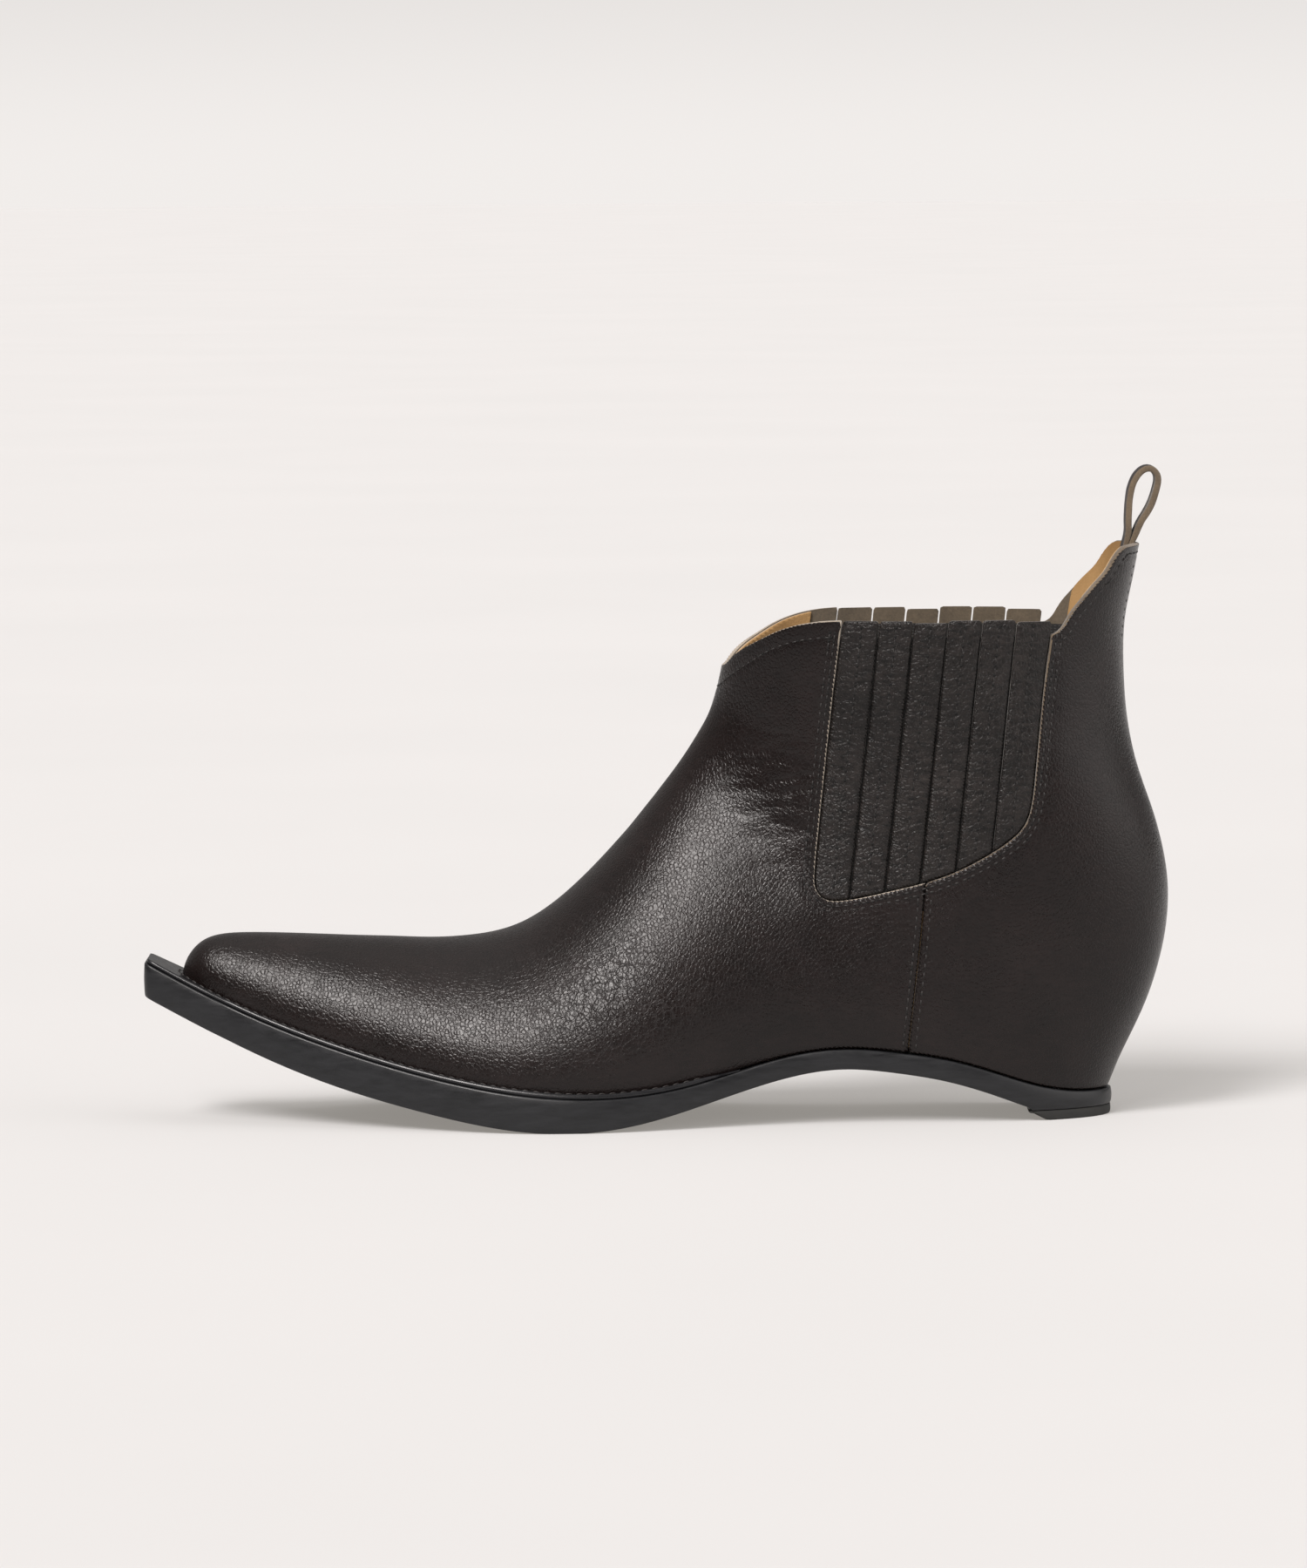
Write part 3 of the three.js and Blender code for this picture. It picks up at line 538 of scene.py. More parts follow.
def folds(p, direction, pitch, seed, sharp=2.0):
    """Irregular parallel creases: 0 on the flats, 1 in the bottom of a crease."""
    c, s = math.cos(direction), math.sin(direction)
    along = p[:, 0] * c + p[:, 2] * s
    across = -p[:, 0] * s + p[:, 2] * c
    q = np.stack([along / 4.5, across, 0 * along], 1)
    wave = noise(q, pitch, seed)
    return np.exp(-(np.abs(wave) * sharp * 2.2) ** 1.3)


# ---------------------------------------------------------------- materials


class Nodes:
    """A node tree whose textures are placed by object coordinates, in metres."""

    def __init__(self, owner, place="Object"):
        owner.use_nodes = True
        self.tree = owner.node_tree
        self.place = self.add("TexCoord").outputs[place]

    def add(self, kind, **settings):
        node = self.tree.nodes.new("ShaderNode" + kind)
        for key, value in settings.items():
            setattr(node, key, value)
        return node

    def put(self, socket, value):
        if isinstance(value, bpy.types.NodeSocket):
            self.tree.links.new(value, socket)
        else:
            socket.default_value = value

    def fill(self, node, **values):
        for key, value in values.items():
            self.put(node.inputs[key.replace("_", " ")], value)
        return node

    def noise(self, scale, detail, rough, distortion=0.0, place=None):
        return self.fill(self.add("TexNoise"), Scale=scale, Detail=detail, Roughness=rough,
                         Distortion=distortion, Vector=place or self.place).outputs["Fac"]

    def cells(self, scale, feature="DISTANCE_TO_EDGE", place=None):
        node = self.add("TexVoronoi", feature=feature)
        return self.fill(node, Scale=scale, Vector=place or self.place).outputs["Distance"]

    def wave(self, direction, scale, distortion):
        node = self.add("TexWave", bands_direction=direction)
        return self.fill(node, Scale=scale, Distortion=distortion, Vector=self.place).outputs["Fac"]

    def stretched(self, factors, turn=(0, 0, 0)):
        node = self.fill(self.add("Mapping"), Scale=factors, Rotation=turn, Vector=self.place)
        return node.outputs["Vector"]

    def colours(self, source, *stops):
        node = self.add("ValToRGB")
        elements = node.color_ramp.elements
        while len(elements) < len(stops):
            elements.new(0.5)
        for element, (at, colour) in zip(elements, stops):
            element.position, element.color = at, (*colour, 1.0)
        self.put(node.inputs["Fac"], source)
        return node.outputs["Color"]

    def mapped(self, source, inner, outer, kind="LINEAR"):
        node = self.add("MapRange", interpolation_type=kind)
        return self.fill(node, Value=source, From_Min=inner[0], From_Max=inner[1],
                         To_Min=outer[0], To_Max=outer[1]).outputs["Result"]

    def spread(self, source, low, high):
        """A noise value, mostly between 0.3 and 0.7, spread over low to high."""
        return self.mapped(source, (0.3, 0.7), (low, high))

    def span(self, source, inner, outer):
        return self.mapped(source, inner, outer, "SMOOTHSTEP")

    def maths(self, kind, *values):
        node = self.add("Math", operation=kind)
        for socket, value in zip(node.inputs, values):
            self.put(socket, value)
        return node.outputs[0]

    def vector(self, kind, *values):
        node = self.add("VectorMath", operation=kind)
        for socket, value in zip(node.inputs, values):
            self.put(socket, value)
        return node

    def bump(self, height, strength, distance, before=None):
        node = self.fill(self.add("Bump"), Height=height, Strength=strength, Distance=distance)
        if before is not None:
            self.put(node.inputs["Normal"], before)
        return node.outputs["Normal"]


class Material(Nodes):
    def __init__(self, name):
        self.data = bpy.data.materials.new(name)
        super().__init__(self.data)

    def finish(self, **values):
        self.fill(self.tree.nodes["Principled BSDF"], **values)
        return self.data


CRACKED = (-0.137, 0.0, 0.036)      # the cracked place over the ball, on both sides


def crackle_lines(m):
    """Distance to a net of cracks, up to 0.07, and how strong the cracks are at each place."""
    wander = m.noise(260.0, 3.0, 0.6)
    bent = m.vector("MULTIPLY_ADD", wander, (0.004, 0.004, 0.004), m.place).outputs[0]
    lines = m.maths("MINIMUM", m.cells(330.0, place=bent), 0.07)
    far = m.vector("DISTANCE", m.stretched((1.0, 0.0, 1.0)), CRACKED).outputs["Value"]
    return lines, m.span(far, (0.010, 0.034), (1.0, 0.12))


def grain_leather(name, dark, light, rough, grain=900.0, depth=0.00009, crease=0.0,
                  crackle=0.0, painted_crease_shading=0.0):
    """Grained leather: pebble grain, pores, mottled dye, a gloss that varies from place to place and,
    when asked for, painted shade in the wrinkles with painted highlight on their tops.
    """
    m = Material(name)
    colour = m.colours(m.noise(38.0, 6.0, 0.6, 0.4), (0.28, dark), (0.72, light))
    wrinkle = m.noise(560.0, 4.0, 0.7, 0.6, m.stretched((0.5, 0.5, 1.3), (0, 0.12, 0)))
    # Painted shade and painted highlight: the wrinkle noise darkens the colour in the wrinkles and
    # lightens it on their tops.
    if painted_crease_shading:
        shade = m.vector("SCALE", colour)
        m.put(shade.inputs["Scale"], m.spread(wrinkle, 1 - painted_crease_shading, 1 + painted_crease_shading))
        colour = shade.outputs[0]
    gloss = m.spread(m.noise(90.0, 5.0, 0.62), *rough)
    pebbles = m.cells(grain, place=m.stretched((1.0, 1.0, 0.82), (0, 0.35, 0)))
    pores = m.noise(grain * 2.2, 2.0, 0.5)
    height = m.maths("MULTIPLY_ADD", m.maths("MINIMUM", pebbles, 0.2), 3.6, pores)
    normal = m.bump(height, 0.75, depth)
    if crackle:
        lines, where = crackle_lines(m)
        gloss = m.maths("ADD", gloss, m.maths("MULTIPLY", m.span(lines, (0.0, 0.07), (0.4, 0.0)), where))
        normal = m.bump(m.maths("MULTIPLY", lines, where), crackle, 0.0016, normal)
    normal = m.bump(m.noise(150.0, 5.0, 0.62, 0.5), 0.2, 0.00012, normal)
    if crease:
        normal = m.bump(wrinkle, 0.6, crease, normal)
    return m.finish(Base_Color=colour, Roughness=gloss, Normal=normal, Specular_IOR_Level=0.30)


def nap(name, dark, light, scale=1400.0, rough=0.92, sheen=0.25):
    """Suede, flesh side, felt or foam: a short fuzzy nap with blotches."""
    m = Material(name)
    fine = m.noise(scale, 5.0, 0.75)
    broad = m.noise(130.0, 4.0, 0.6)
    both = m.maths("MULTIPLY_ADD", fine, 0.6, m.maths("MULTIPLY", broad, 0.4))
    return m.finish(Base_Color=m.colours(both, (0.3, dark), (0.68, light)),
                    Normal=m.bump(fine, 0.7, 0.00018), Roughness=rough, Sheen_Weight=sheen,
                    Sheen_Roughness=0.6)


def rubber(name, dark, light, rough):
    """Moulded rubber or edge dressing: fine satin with scuffs."""
    m = Material(name)
    scuff = m.noise(240.0, 6.0, 0.68, 0.3, m.stretched((0.35, 1.0, 2.2)))
    fine = m.bump(m.noise(2200.0, 3.0, 0.6), 0.35, 0.00005)
    return m.finish(Base_Color=m.colours(scuff, (0.3, dark), (0.75, light)),
                    Roughness=m.spread(scuff, *rough), Specular_IOR_Level=0.4,
                    Normal=m.bump(m.noise(70.0, 4.0, 0.55), 0.25, 0.0006, fine))


def woven(name, dark, light):
    """Web or tape: ribs one way, picks the other."""
    m = Material(name)
    both = m.maths("MULTIPLY", m.wave("X", 250.0, 0.6), m.wave("Z", 375.0, 0.8))
    return m.finish(Base_Color=m.colours(both, (0.1, dark), (0.8, light)),
                    Normal=m.bump(both, 0.6, 0.0002), Roughness=0.85)


def thread(name, dark, light):
    m = Material(name)
    twist = m.noise(2600.0, 2.0, 0.5)
    return m.finish(Base_Color=m.colours(twist, (0.35, dark), (0.65, light)),
                    Normal=m.bump(twist, 0.6, 0.0001), Roughness=0.55)


def granular(name, dark, middle, light, scale):
    """Cork and fibre board: packed grains of mixed colour."""
    m = Material(name)
    cells = m.cells(scale, "F1")
    speck = m.maths("MULTIPLY", m.noise(scale * 1.7, 3.0, 0.6), 0.5)
    both = m.maths("MULTIPLY_ADD", cells, 0.7, speck)
    return m.finish(Base_Color=m.colours(both, (0.3, dark), (0.52, middle), (0.75, light)),
                    Normal=m.bump(cells, 0.5, 0.0003), Roughness=0.9)


def brushed(name, dark, light):
    m = Material(name)
    lines = m.noise(900.0, 3.0, 0.6, place=m.stretched((0.2, 3.0, 1.0)))
    return m.finish(Base_Color=m.colours(lines, (0.3, dark), (0.7, light)),
                    Roughness=m.spread(lines, 0.25, 0.45), Metallic=1.0)


# The upper and strip leathers carry painted shade in their wrinkles and painted highlight on the wrinkle
# tops, far stronger on the strips.
UPPER = grain_leather("upper_leather", (0.0045, 0.0027, 0.0025), (0.0098, 0.0060, 0.0056), (0.24, 0.32),
                      crackle=0.45, painted_crease_shading=0.3)
STRIP = grain_leather("strip_leather", (0.006, 0.0046, 0.0042), (0.0150, 0.0120, 0.0110), (0.28, 0.42),
                      grain=760.0, depth=0.00018, crease=0.00042, painted_crease_shading=0.9)
TAB = grain_leather("tab_leather", (0.012, 0.009, 0.0085), (0.024, 0.018, 0.017), (0.42, 0.6))
RAW = nap("raw_edge", (0.05, 0.034, 0.02), (0.165, 0.118, 0.07), 1800.0)
EDGE = nap("cut_edge", (0.16, 0.125, 0.09), (0.42, 0.36, 0.29), 1800.0, 0.8)
STRIP_EDGE = nap("strip_cut_edge", (0.05, 0.038, 0.028), (0.15, 0.12, 0.095), 1800.0, 0.8)
FLESH = nap("flesh_side", (0.045, 0.032, 0.018), (0.12, 0.09, 0.056), 1300.0)
LINING_FACE = grain_leather("lining_leather", (0.24, 0.135, 0.05), (0.42, 0.255, 0.11), (0.55, 0.75),
                            grain=1100.0, depth=0.00005)
LINING_EDGE = nap("lining_edge", (0.22, 0.14, 0.07), (0.48, 0.33, 0.19), 1800.0)
SOCK = grain_leather("sock_leather", (0.22, 0.125, 0.048), (0.38, 0.23, 0.10), (0.55, 0.75),
                     grain=1000.0)
SOLE = rubber("sole_rubber", (0.0055, 0.0057, 0.0066), (0.0135, 0.014, 0.016), (0.30, 0.46))
LIFT = rubber("lift_rubber", (0.009, 0.009, 0.0086), (0.024, 0.0235, 0.022), (0.55, 0.75))
WELT = rubber("welt_leather", (0.006, 0.006, 0.007), (0.015, 0.015, 0.017), (0.22, 0.36))
WEB = woven("elastic_web", (0.008, 0.0078, 0.0076), (0.03, 0.028, 0.027))
TAPE = woven("seam_tape", (0.24, 0.15, 0.07), (0.45, 0.3, 0.15))
THREAD = thread("upper_thread", (0.005, 0.0042, 0.004), (0.02, 0.016, 0.015))
# Painted shade: a near-black, sheenless finish for the discs set where the needle holes are.
HOLE_SHADE = nap("stitch_hole_painted_shade", (0.0015, 0.0012, 0.0012), (0.004, 0.0032, 0.003), 1800.0, sheen=0.0)
STIFF = woven("stiffener", (0.5, 0.46, 0.37), (0.68, 0.63, 0.52))
BOARD = granular("fibre_board", (0.34, 0.24, 0.14), (0.45, 0.33, 0.20), (0.52, 0.4, 0.26), 900.0)
CORK = granular("cork", (0.12, 0.06, 0.025), (0.33, 0.19, 0.08), (0.46, 0.29, 0.14), 420.0)
FOAM = nap("foam", (0.5, 0.45, 0.3), (0.72, 0.66, 0.47), 900.0)
STEEL = brushed("steel", (0.4, 0.41, 0.42), (0.62, 0.63, 0.64))

CAD_FINISH = {
    "sole_rubber": SOLE, "lift_rubber": LIFT, "welt_leather": WELT, "upper_leather": UPPER,
    "strip_leather": STRIP, "tab_leather": TAB, "lining_leather": LINING_FACE,
    "sock_leather": SOCK, "seam_tape": TAPE, "elastic_web": WEB, "stiffener": STIFF,
    "fibre_board": BOARD, "cork": CORK, "foam": FOAM, "steel": STEEL,
}
for entry in frame["record"]["subparts"]:
    node = frame["nodes"][entry["node"]]
    for holder in node.material_slots:
        holder.material = CAD_FINISH[entry["material_slot"]]

# ---------------------------------------------------------------- stitch rows


def surface(uq, depth=0.0):
    p, n = last(uq[:, 0], uq[:, 1]), last_normal(uq[:, 0], uq[:, 1])
    return p - n * depth, n


def gore_row(offset, side):
    line = resample(shifted(gore, offset), 1.0)
    keep = line[:, 1] < 147.0
    return locate(line[keep], side)


def seam_row(offset, side):
    line = resample(shifted(seam, offset), 1.0)
    clear = 3.2 if offset > 0 else 3.6
    keep = (line[:, 1] > feather(line[:, 0]) + 1.0) & (line[:, 1] < SEAM[0, 1] - clear)
    return locate(line[keep], side)


def front_stitch_row():
    """Round the front of the vamp's top edge, from one gore to the other."""
    corner = [locate([(-70.9, 144.6)], s)[0, 1] for s in (LATERAL, MEDIAL)]
    q = np.linspace(corner[0], corner[1], 260)
    return np.stack([top_line(q, rounded(FRONT_STITCH[1:])), q], 1)


def back_stitch_row(offset=2.5):
    outline = shifted(back_top, offset)
    outline = outline[(outline[:, 0] > -3.5)]
    outline[-1] = (60, outline[-2][1])
    corner = [locate([(-2.6, 144.9 - offset * 0.4)], s)[0, 1] for s in (LATERAL, MEDIAL)]
    q = np.linspace(corner[0] + 4, corner[1], 260)
    return np.stack([top_line(q, outline, 17.0), q], 1)


ROWS_OF_STITCHES = {}
for side, label in ((LATERAL, "outer"), (MEDIAL, "inner")):
    ROWS_OF_STITCHES["gore_a_" + label] = (gore_row(1.5, side), 2.6)
    ROWS_OF_STITCHES["gore_b_" + label] = (gore_row(3.0, side), 2.6)
    ROWS_OF_STITCHES["seam_a_" + label] = (seam_row(1.75, side), 2.6)
    ROWS_OF_STITCHES["seam_b_" + label] = (seam_row(-2.1, side), 2.6)
ROWS_OF_STITCHES["front_top"] = (front_stitch_row(), 2.6)
ROWS_OF_STITCHES["back_top"] = (back_stitch_row(), 2.6)
for side, label in ((LATERAL, "outer"), (MEDIAL, "inner")):
    back_bar = np.stack([np.linspace(22.35, 21.1, 40), np.full(40, side * 1.9)], 1)
    ROWS_OF_STITCHES["tab_bar_" + label] = (back_bar, 2.4)

sewn_points = np.vstack([
    resample(surface(row)[0], 0.5) for row, _ in ROWS_OF_STITCHES.values()
])
DIP_WIDTH, DIP_DEPTH = 0.7, 0.26


def stitch_dip(points):
    """The leather is pulled down along the rows of stitches."""
    return DIP_DEPTH * np.exp(-(nearest(points, sewn_points) / DIP_WIDTH) ** 2)


THREAD_SIDES, HOLE_SIDES = 7, 8
# along the stitch from 0 to 1, share of the thread's radius, height in radii
STITCH_SHAPE = ((0.0, 0.25, -0.45), (0.1, 0.7, -0.1), (0.3, 1.0, 0.35), (0.5, 1.0, 0.5),
                (0.7, 1.0, 0.35), (0.9, 0.7, -0.1), (1.0, 0.25, -0.45))
HOLE_SHAPE = ((0.07, 1.0), (-0.35, 0.6))        # height, share of the hole's radius


def tube(faces, base, rings, sides, turned=False):
    """Quads between rings of points, and a cap at each end."""
    step = -1 if turned else 1
    for r in range(rings - 1):
        for k in range(sides):
            j = (k + 1) % sides
            quad = (base + r * sides + k, base + r * sides + j,
                    base + (r + 1) * sides + j, base + (r + 1) * sides + k)
            faces.append(quad[::step])
    faces.append(tuple(base + k for k in range(sides))[::-step])
    faces.append(tuple(base + (rings - 1) * sides + k for k in range(sides))[::step])


def stitches(name, path, normals, pitch, radius, cover=0.72, lift=0.02, hole=0.2):
    """One row of stitches: a small raised thread between two needle holes, over and over. Each needle
    hole is a near-black disc of painted shade.
    """
    path = np.asarray(path, float)
    run = np.r_[0, np.cumsum(np.linalg.norm(np.diff(path, axis=0), axis=1))]
    count = max(1, int(run[-1] / pitch))
    pitch = run[-1] / count
    verts, faces, index = [], [], []

    def at(s):
        return np.array([np.interp(s, run, path[:, k]) for k in range(3)])

    def frame_at(s):
        n = unit(np.array([np.interp(s, run, normals[:, k]) for k in range(3)]))
        along = unit(at(min(s + 0.05, run[-1])) - at(max(s - 0.05, 0)))
        return at(s), n, along, np.cross(n, along)

    for i in range(count):
        base, known = len(verts), len(faces)
        for t, wide, up in STITCH_SHAPE:
            p, n, along, cross = frame_at((i + (1 - cover) / 2 + t * cover) * pitch)
            centre = p + n * (lift + radius * up)
            for a in np.arange(THREAD_SIDES) * 2 * math.pi / THREAD_SIDES:
                verts.append(centre + radius * wide * (math.cos(a) * cross + 0.8 * math.sin(a) * n))
        tube(faces, base, len(STITCH_SHAPE), THREAD_SIDES)
        index += [0] * (len(faces) - known)
        # The needle hole: a short dark plug of painted shade, sunk a little into the leather.
        p, n, along, cross = frame_at(i * pitch)
        base, known = len(verts), len(faces)
        for up, size in HOLE_SHAPE:
            for a in np.arange(HOLE_SIDES) * 2 * math.pi / HOLE_SIDES:
                across = 1.25 * math.cos(a) * along + math.sin(a) * cross
                verts.append(p + n * up + hole * size * across)
        tube(faces, base, len(HOLE_SHAPE), HOLE_SIDES, turned=True)
        index += [1] * (len(faces) - known)
    made(name, verts, faces, [THREAD, HOLE_SHADE], index)


# ---------------------------------------------------------------- upper


FLEX = ((-89, 96), (21, 30))
BALL = ((-137, 42), (17, 16))


def upper_relief(p):
    """Height added to the smooth last, in millimetres."""
    h = 0.22 * noise(p, 34, 1) + 0.10 * noise(p, 13, 2)
    flex = spot(p, *FLEX)
    h = h - flex * (0.34 * folds(p, 0.22, 4.6, 5, 1.5) + 0.2 * folds(p, -0.05, 2.3, 6, 1.2))
    instep = spot(p, (-118, 84), (24, 26))
    h = h - instep * 0.14 * folds(p, 0.7, 5.0, 7)
    ball = spot(p, *BALL)
    h = h - ball * (0.16 * folds(p, 1.5, 4.0, 9, 1.4) + 0.12 * folds(p, 0.3, 3.4, 10, 1.4))
    low = ramp(p[:, 2], 30, 12) * ramp(p[:, 0], -20, -60)
    h = h - low * 0.12 * folds(p, 0.2, 5.0, 11)
    corner = np.exp(-((p[:, 0] + 79) / 9) ** 2 - ((p[:, 2] - 63) / 6) ** 2)
    h = h + 0.5 * corner
    quarter = spot(p, (-14, 52), (34, 34))
    h = h - quarter * 0.16 * folds(p, 2.5, 9.0, 13)
    return h


def leather_panel(name, loop, materials, thickness, replaced, step=1.4, relief=True,
                  depth=0.0, edge=0.42, extra=None, inner_depth=None, zones=(), cut=None):
    """A panel of leather or web. `depth` is how far its face lies inside the last, and `cut` says
    how wide and where its cut edge shows."""
    panel = Panel(loop, step, zones)
    outer_depth = depth + rounded_edge(panel.edge_gap, edge)
    if relief:
        outer_depth = outer_depth - upper_relief(panel.at) + stitch_dip(panel.at)
    if extra is not None:
        outer_depth = outer_depth + extra(panel)
    under = depth + thickness if inner_depth is None else inner_depth(panel)
    outer = panel.at - panel.normal * outer_depth[:, None]
    inner = panel.at - panel.normal * (under * np.ones(len(panel.at)))[:, None]
    piece = closed_mesh(name, outer, inner, panel.faces, panel.boundary, materials)
    if cut is not None:
        bare = (panel.edge_gap < cut[0]) & cut[1](panel.at)
        index = np.zeros(len(piece.data.polygons), np.int32)
        piece.data.polygons.foreach_get("material_index", index)
        index[: len(panel.faces)][bare[panel.faces].all(axis=1)] = 1
        piece.data.polygons.foreach_set("material_index", index)
    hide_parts(replaced)


def shell_front(gore_offset, seam_offset, top_drop=0.0):
    """Closed loop of the front half: feather line, side seams, gores and front top edge."""
    loop = []
    for side in (LATERAL, MEDIAL):
        down = seam_points(seam_offset, side)
        edge = shifted(gore, gore_offset)[: near_seam + 1]
        edge = edge[edge[:, 1] < 150.4 + top_drop]
        u_end = down[-1, 0]
        bottom = feather_run(NOSE_U, u_end, side)
        up = locate(resample(edge, 0.8)[::-1], side)
        loop.append([bottom, down[::-1][1:], up[1:]])
    outer, inner = loop
    corners = outer[2][-1, 1], inner[2][-1, 1]
    q = np.linspace(corners[0], corners[1], 300)[1:-1]
    top = np.stack([top_line(q, front_top + (0, top_drop)), q], 1)
    return np.vstack([*outer, top, inner[2][::-1], inner[1][::-1], inner[0][::-1][:-1]])


def shell_back(gore_offset, seam_offset, top_drop=0.0):
    loop = []
    for side in (LATERAL, MEDIAL):
        down = seam_points(seam_offset, side)
        edge = shifted(gore, gore_offset)[near_seam:]
        edge = edge[edge[:, 1] < 145.4]
        edge = np.vstack([edge, [(-5.4 + gore_offset, 145.4)]])
        bottom = feather_run(down[-1, 0], HEEL_U, side)
        up = locate(resample(edge, 0.8), side)
        parts = [bottom[::-1], down[::-1][1:], up[1:]]
        turned = []
        for part in parts:
            part = part.copy()
            part[:, 1] = 4 - np.abs(part[:, 1]) if side == LATERAL else np.abs(part[:, 1])
            turned.append(part)
        loop.append(turned)
    outer, inner = loop
    q = np.linspace(outer[2][-1, 1], inner[2][-1, 1], 300)[1:-1]
    outline = back_top + (0, top_drop)
    outline[0] = (-60, outline[0][1])
    top = np.stack([top_line(q, outline, 17.0), q], 1)
    return np.vstack([*outer, top, inner[2][::-1], inner[1][::-1], inner[0][::-1][1:]])


def by_opening(at):
    """Near the gores or the top edge, where the cut edge shows, and not at the sole or side seam."""
    return (nearest(at[:, [0, 2]], resample(gore, 0.5)) < 1.2) | (at[:, 2] > 120)


def quarter_inside(panel):
    """The quarter's raw edge is a little thicker along its top."""
    return LEATHER + 0.35 * ramp(panel.at[:, 2], 138, 148) * (1 - ramp(panel.edge_gap, 3, 9))


leather_panel("vamp_leather", shell_front(0.0, 0.15), [UPPER, EDGE, FLESH], LEATHER, "vamp",
              zones=(FLEX, BALL), cut=(0.32, by_opening))
leather_panel("quarter_leather", shell_back(0.0, -0.15), [UPPER, RAW, FLESH], LEATHER, "quarter",
              inner_depth=quarter_inside, cut=(0.32, by_opening))

for row, (uq, pitch) in ROWS_OF_STITCHES.items():
    path, normals = surface(uq, 0.0)
    dipped = path + normals * (upper_relief(path) - 0.26)[:, None]
    stitches("stitches_" + row, dipped, normals, pitch, 0.27, cover=0.62, hole=0.42)

# ---------------------------------------------------------------- gore strips and elastic

STRIPS, STRIP_PITCH, STRIP_GAP, STRIP_LEAN = 6, 10.2, 0.45, 0.112
STRIPS_FRONT, STRIPS_TOP, STRIPS_FOOT = -66.9, 149.8, 60.0
STRIP_THICK, STRIP_DEPTH = 1.1, 0.25
ROW_WIDTH, ROW_DEPTH = 0.95, 0.12        # the dip along a strip's stitches
TUCK, WEB_TOP = 8.0, 145.0


def clipped(subject, quad):
    """A polygon clipped to a convex region."""
    quad = np.asarray(quad, float)
    if signed_area(quad) < 0:
        quad = quad[::-1]
    out = [np.array(p, float) for p in subject]
    for a, b in zip(quad, np.roll(quad, -1, axis=0)):
        kept, edge = [], b - a
        sides = [edge[0] * (p[1] - a[1]) - edge[1] * (p[0] - a[0]) for p in out]
        for p, q, sp, sq in zip(out, out[1:] + out[:1], sides, sides[1:] + sides[:1]):
            if sp >= 0:
                kept.append(p)
            if (sp >= 0) != (sq >= 0):
                kept.append(p + (q - p) * sp / (sp - sq))
        out = kept
    return np.array(out)


def softened(loop, radius=0.8, step=0.35):
    """A closed polygon with its corners rounded."""
    line = resample(loop, step, closed=True)
    reach = max(1, int(radius / step))
    kernel = np.hanning(2 * reach + 3)[1:-1]
    kernel /= kernel.sum()
    pad = len(kernel)
    wrapped = np.vstack([line[-pad:], line, line[:pad]])
    out = np.stack([np.convolve(wrapped[:, k], kernel, "same") for k in (0, 1)], 1)
    return out[pad:-pad]


def strip_relief(p, i, side):
    """Crosswise wrinkles of a stretched strip."""
    along = np.stack([p[:, 0] * 0.22, p[:, 1] * 0.3, p[:, 2]], 1)
    seed = 20 + i + (10 if side > 0 else 0)
    fine = noise(along, 1.7, seed)
    broad = noise(along, 5.0, seed + 3)
    return 0.14 * fine + 0.11 * broad


def gore_strip(side, label, i, window):
    past = 6.0          # the outermost strips run on past the window's edge
    lean = STRIP_LEAN * (STRIPS_FOOT - STRIPS_TOP)
    a = STRIPS_FRONT + i * STRIP_PITCH + (STRIP_GAP / 2 if i else -past)
    b = STRIPS_FRONT + (i + 1) * STRIP_PITCH + (-STRIP_GAP / 2 if i < STRIPS - 1 else past)
    crown = STRIPS_TOP + 0.45 * math.sin(2.1 * i + 0.6)
    quad = [(a, crown), (b, crown), (b + lean, STRIPS_FOOT),
            (a + lean - (0 if i else past), STRIPS_FOOT)]
    shape = softened(clipped(window, quad))
    middle = STRIPS_FRONT + (i + 0.5) * STRIP_PITCH

    def seat(panel):
        x = panel.at[:, 0] - STRIP_LEAN * (panel.at[:, 2] - STRIPS_TOP)
        row = np.exp(-((x - middle) / ROW_WIDTH) ** 2) * ROW_DEPTH
        swell = 0.3 * np.exp(-panel.edge_gap / 1.3)
        return row + swell - strip_relief(panel.at, i, side)

    leather_panel(f"gore_strip_{label}_{i + 1}_leather", locate(shape, side), [STRIP, STRIP_EDGE, FLESH],
                  STRIP_THICK, f"gore_strip_{label}_{i + 1}", step=1.0, relief=False,
                  depth=STRIP_DEPTH, edge=0.35, extra=seat)
    z = np.linspace(STRIPS_TOP - 1.6, STRIPS_FOOT, 200)
    row = np.stack([middle + STRIP_LEAN * (z - STRIPS_TOP), z], 1)
    row = row[inside(row, shape)]
    row = row[:-2] if len(row) > 8 else row
    path, normals = surface(locate(row, side))
    path = path - normals * (0.33 - strip_relief(path, i, side))[:, None]
    stitches(f"stitches_strip_{label}_{i + 1}", path, normals, 2.8, 0.18, cover=0.45, lift=-0.04,
             hole=0.42)


def gore_pieces(side, label):
    window = np.vstack([shifted(gore, -0.3), [(-4.9, 170), (-67.7, 170)]])
    for i in range(STRIPS):
        gore_strip(side, label, i, window)
    web = shifted(gore, TUCK)
    web = np.vstack([web[web[:, 1] < WEB_TOP], [(3.0, WEB_TOP), (-75.9, WEB_TOP)]])
    leather_panel(f"gore_elastic_{label}_web", locate(softened(web), side), [WEB, WEB, WEB], 0.8,
                  f"gore_elastic_{label}", step=2.0, relief=False,
                  depth=LEATHER + FIT + 0.02, edge=0.3)


for side, label in ((LATERAL, "lateral"), (MEDIAL, "medial")):
    gore_pieces(side, label)

# ---------------------------------------------------------------- lining


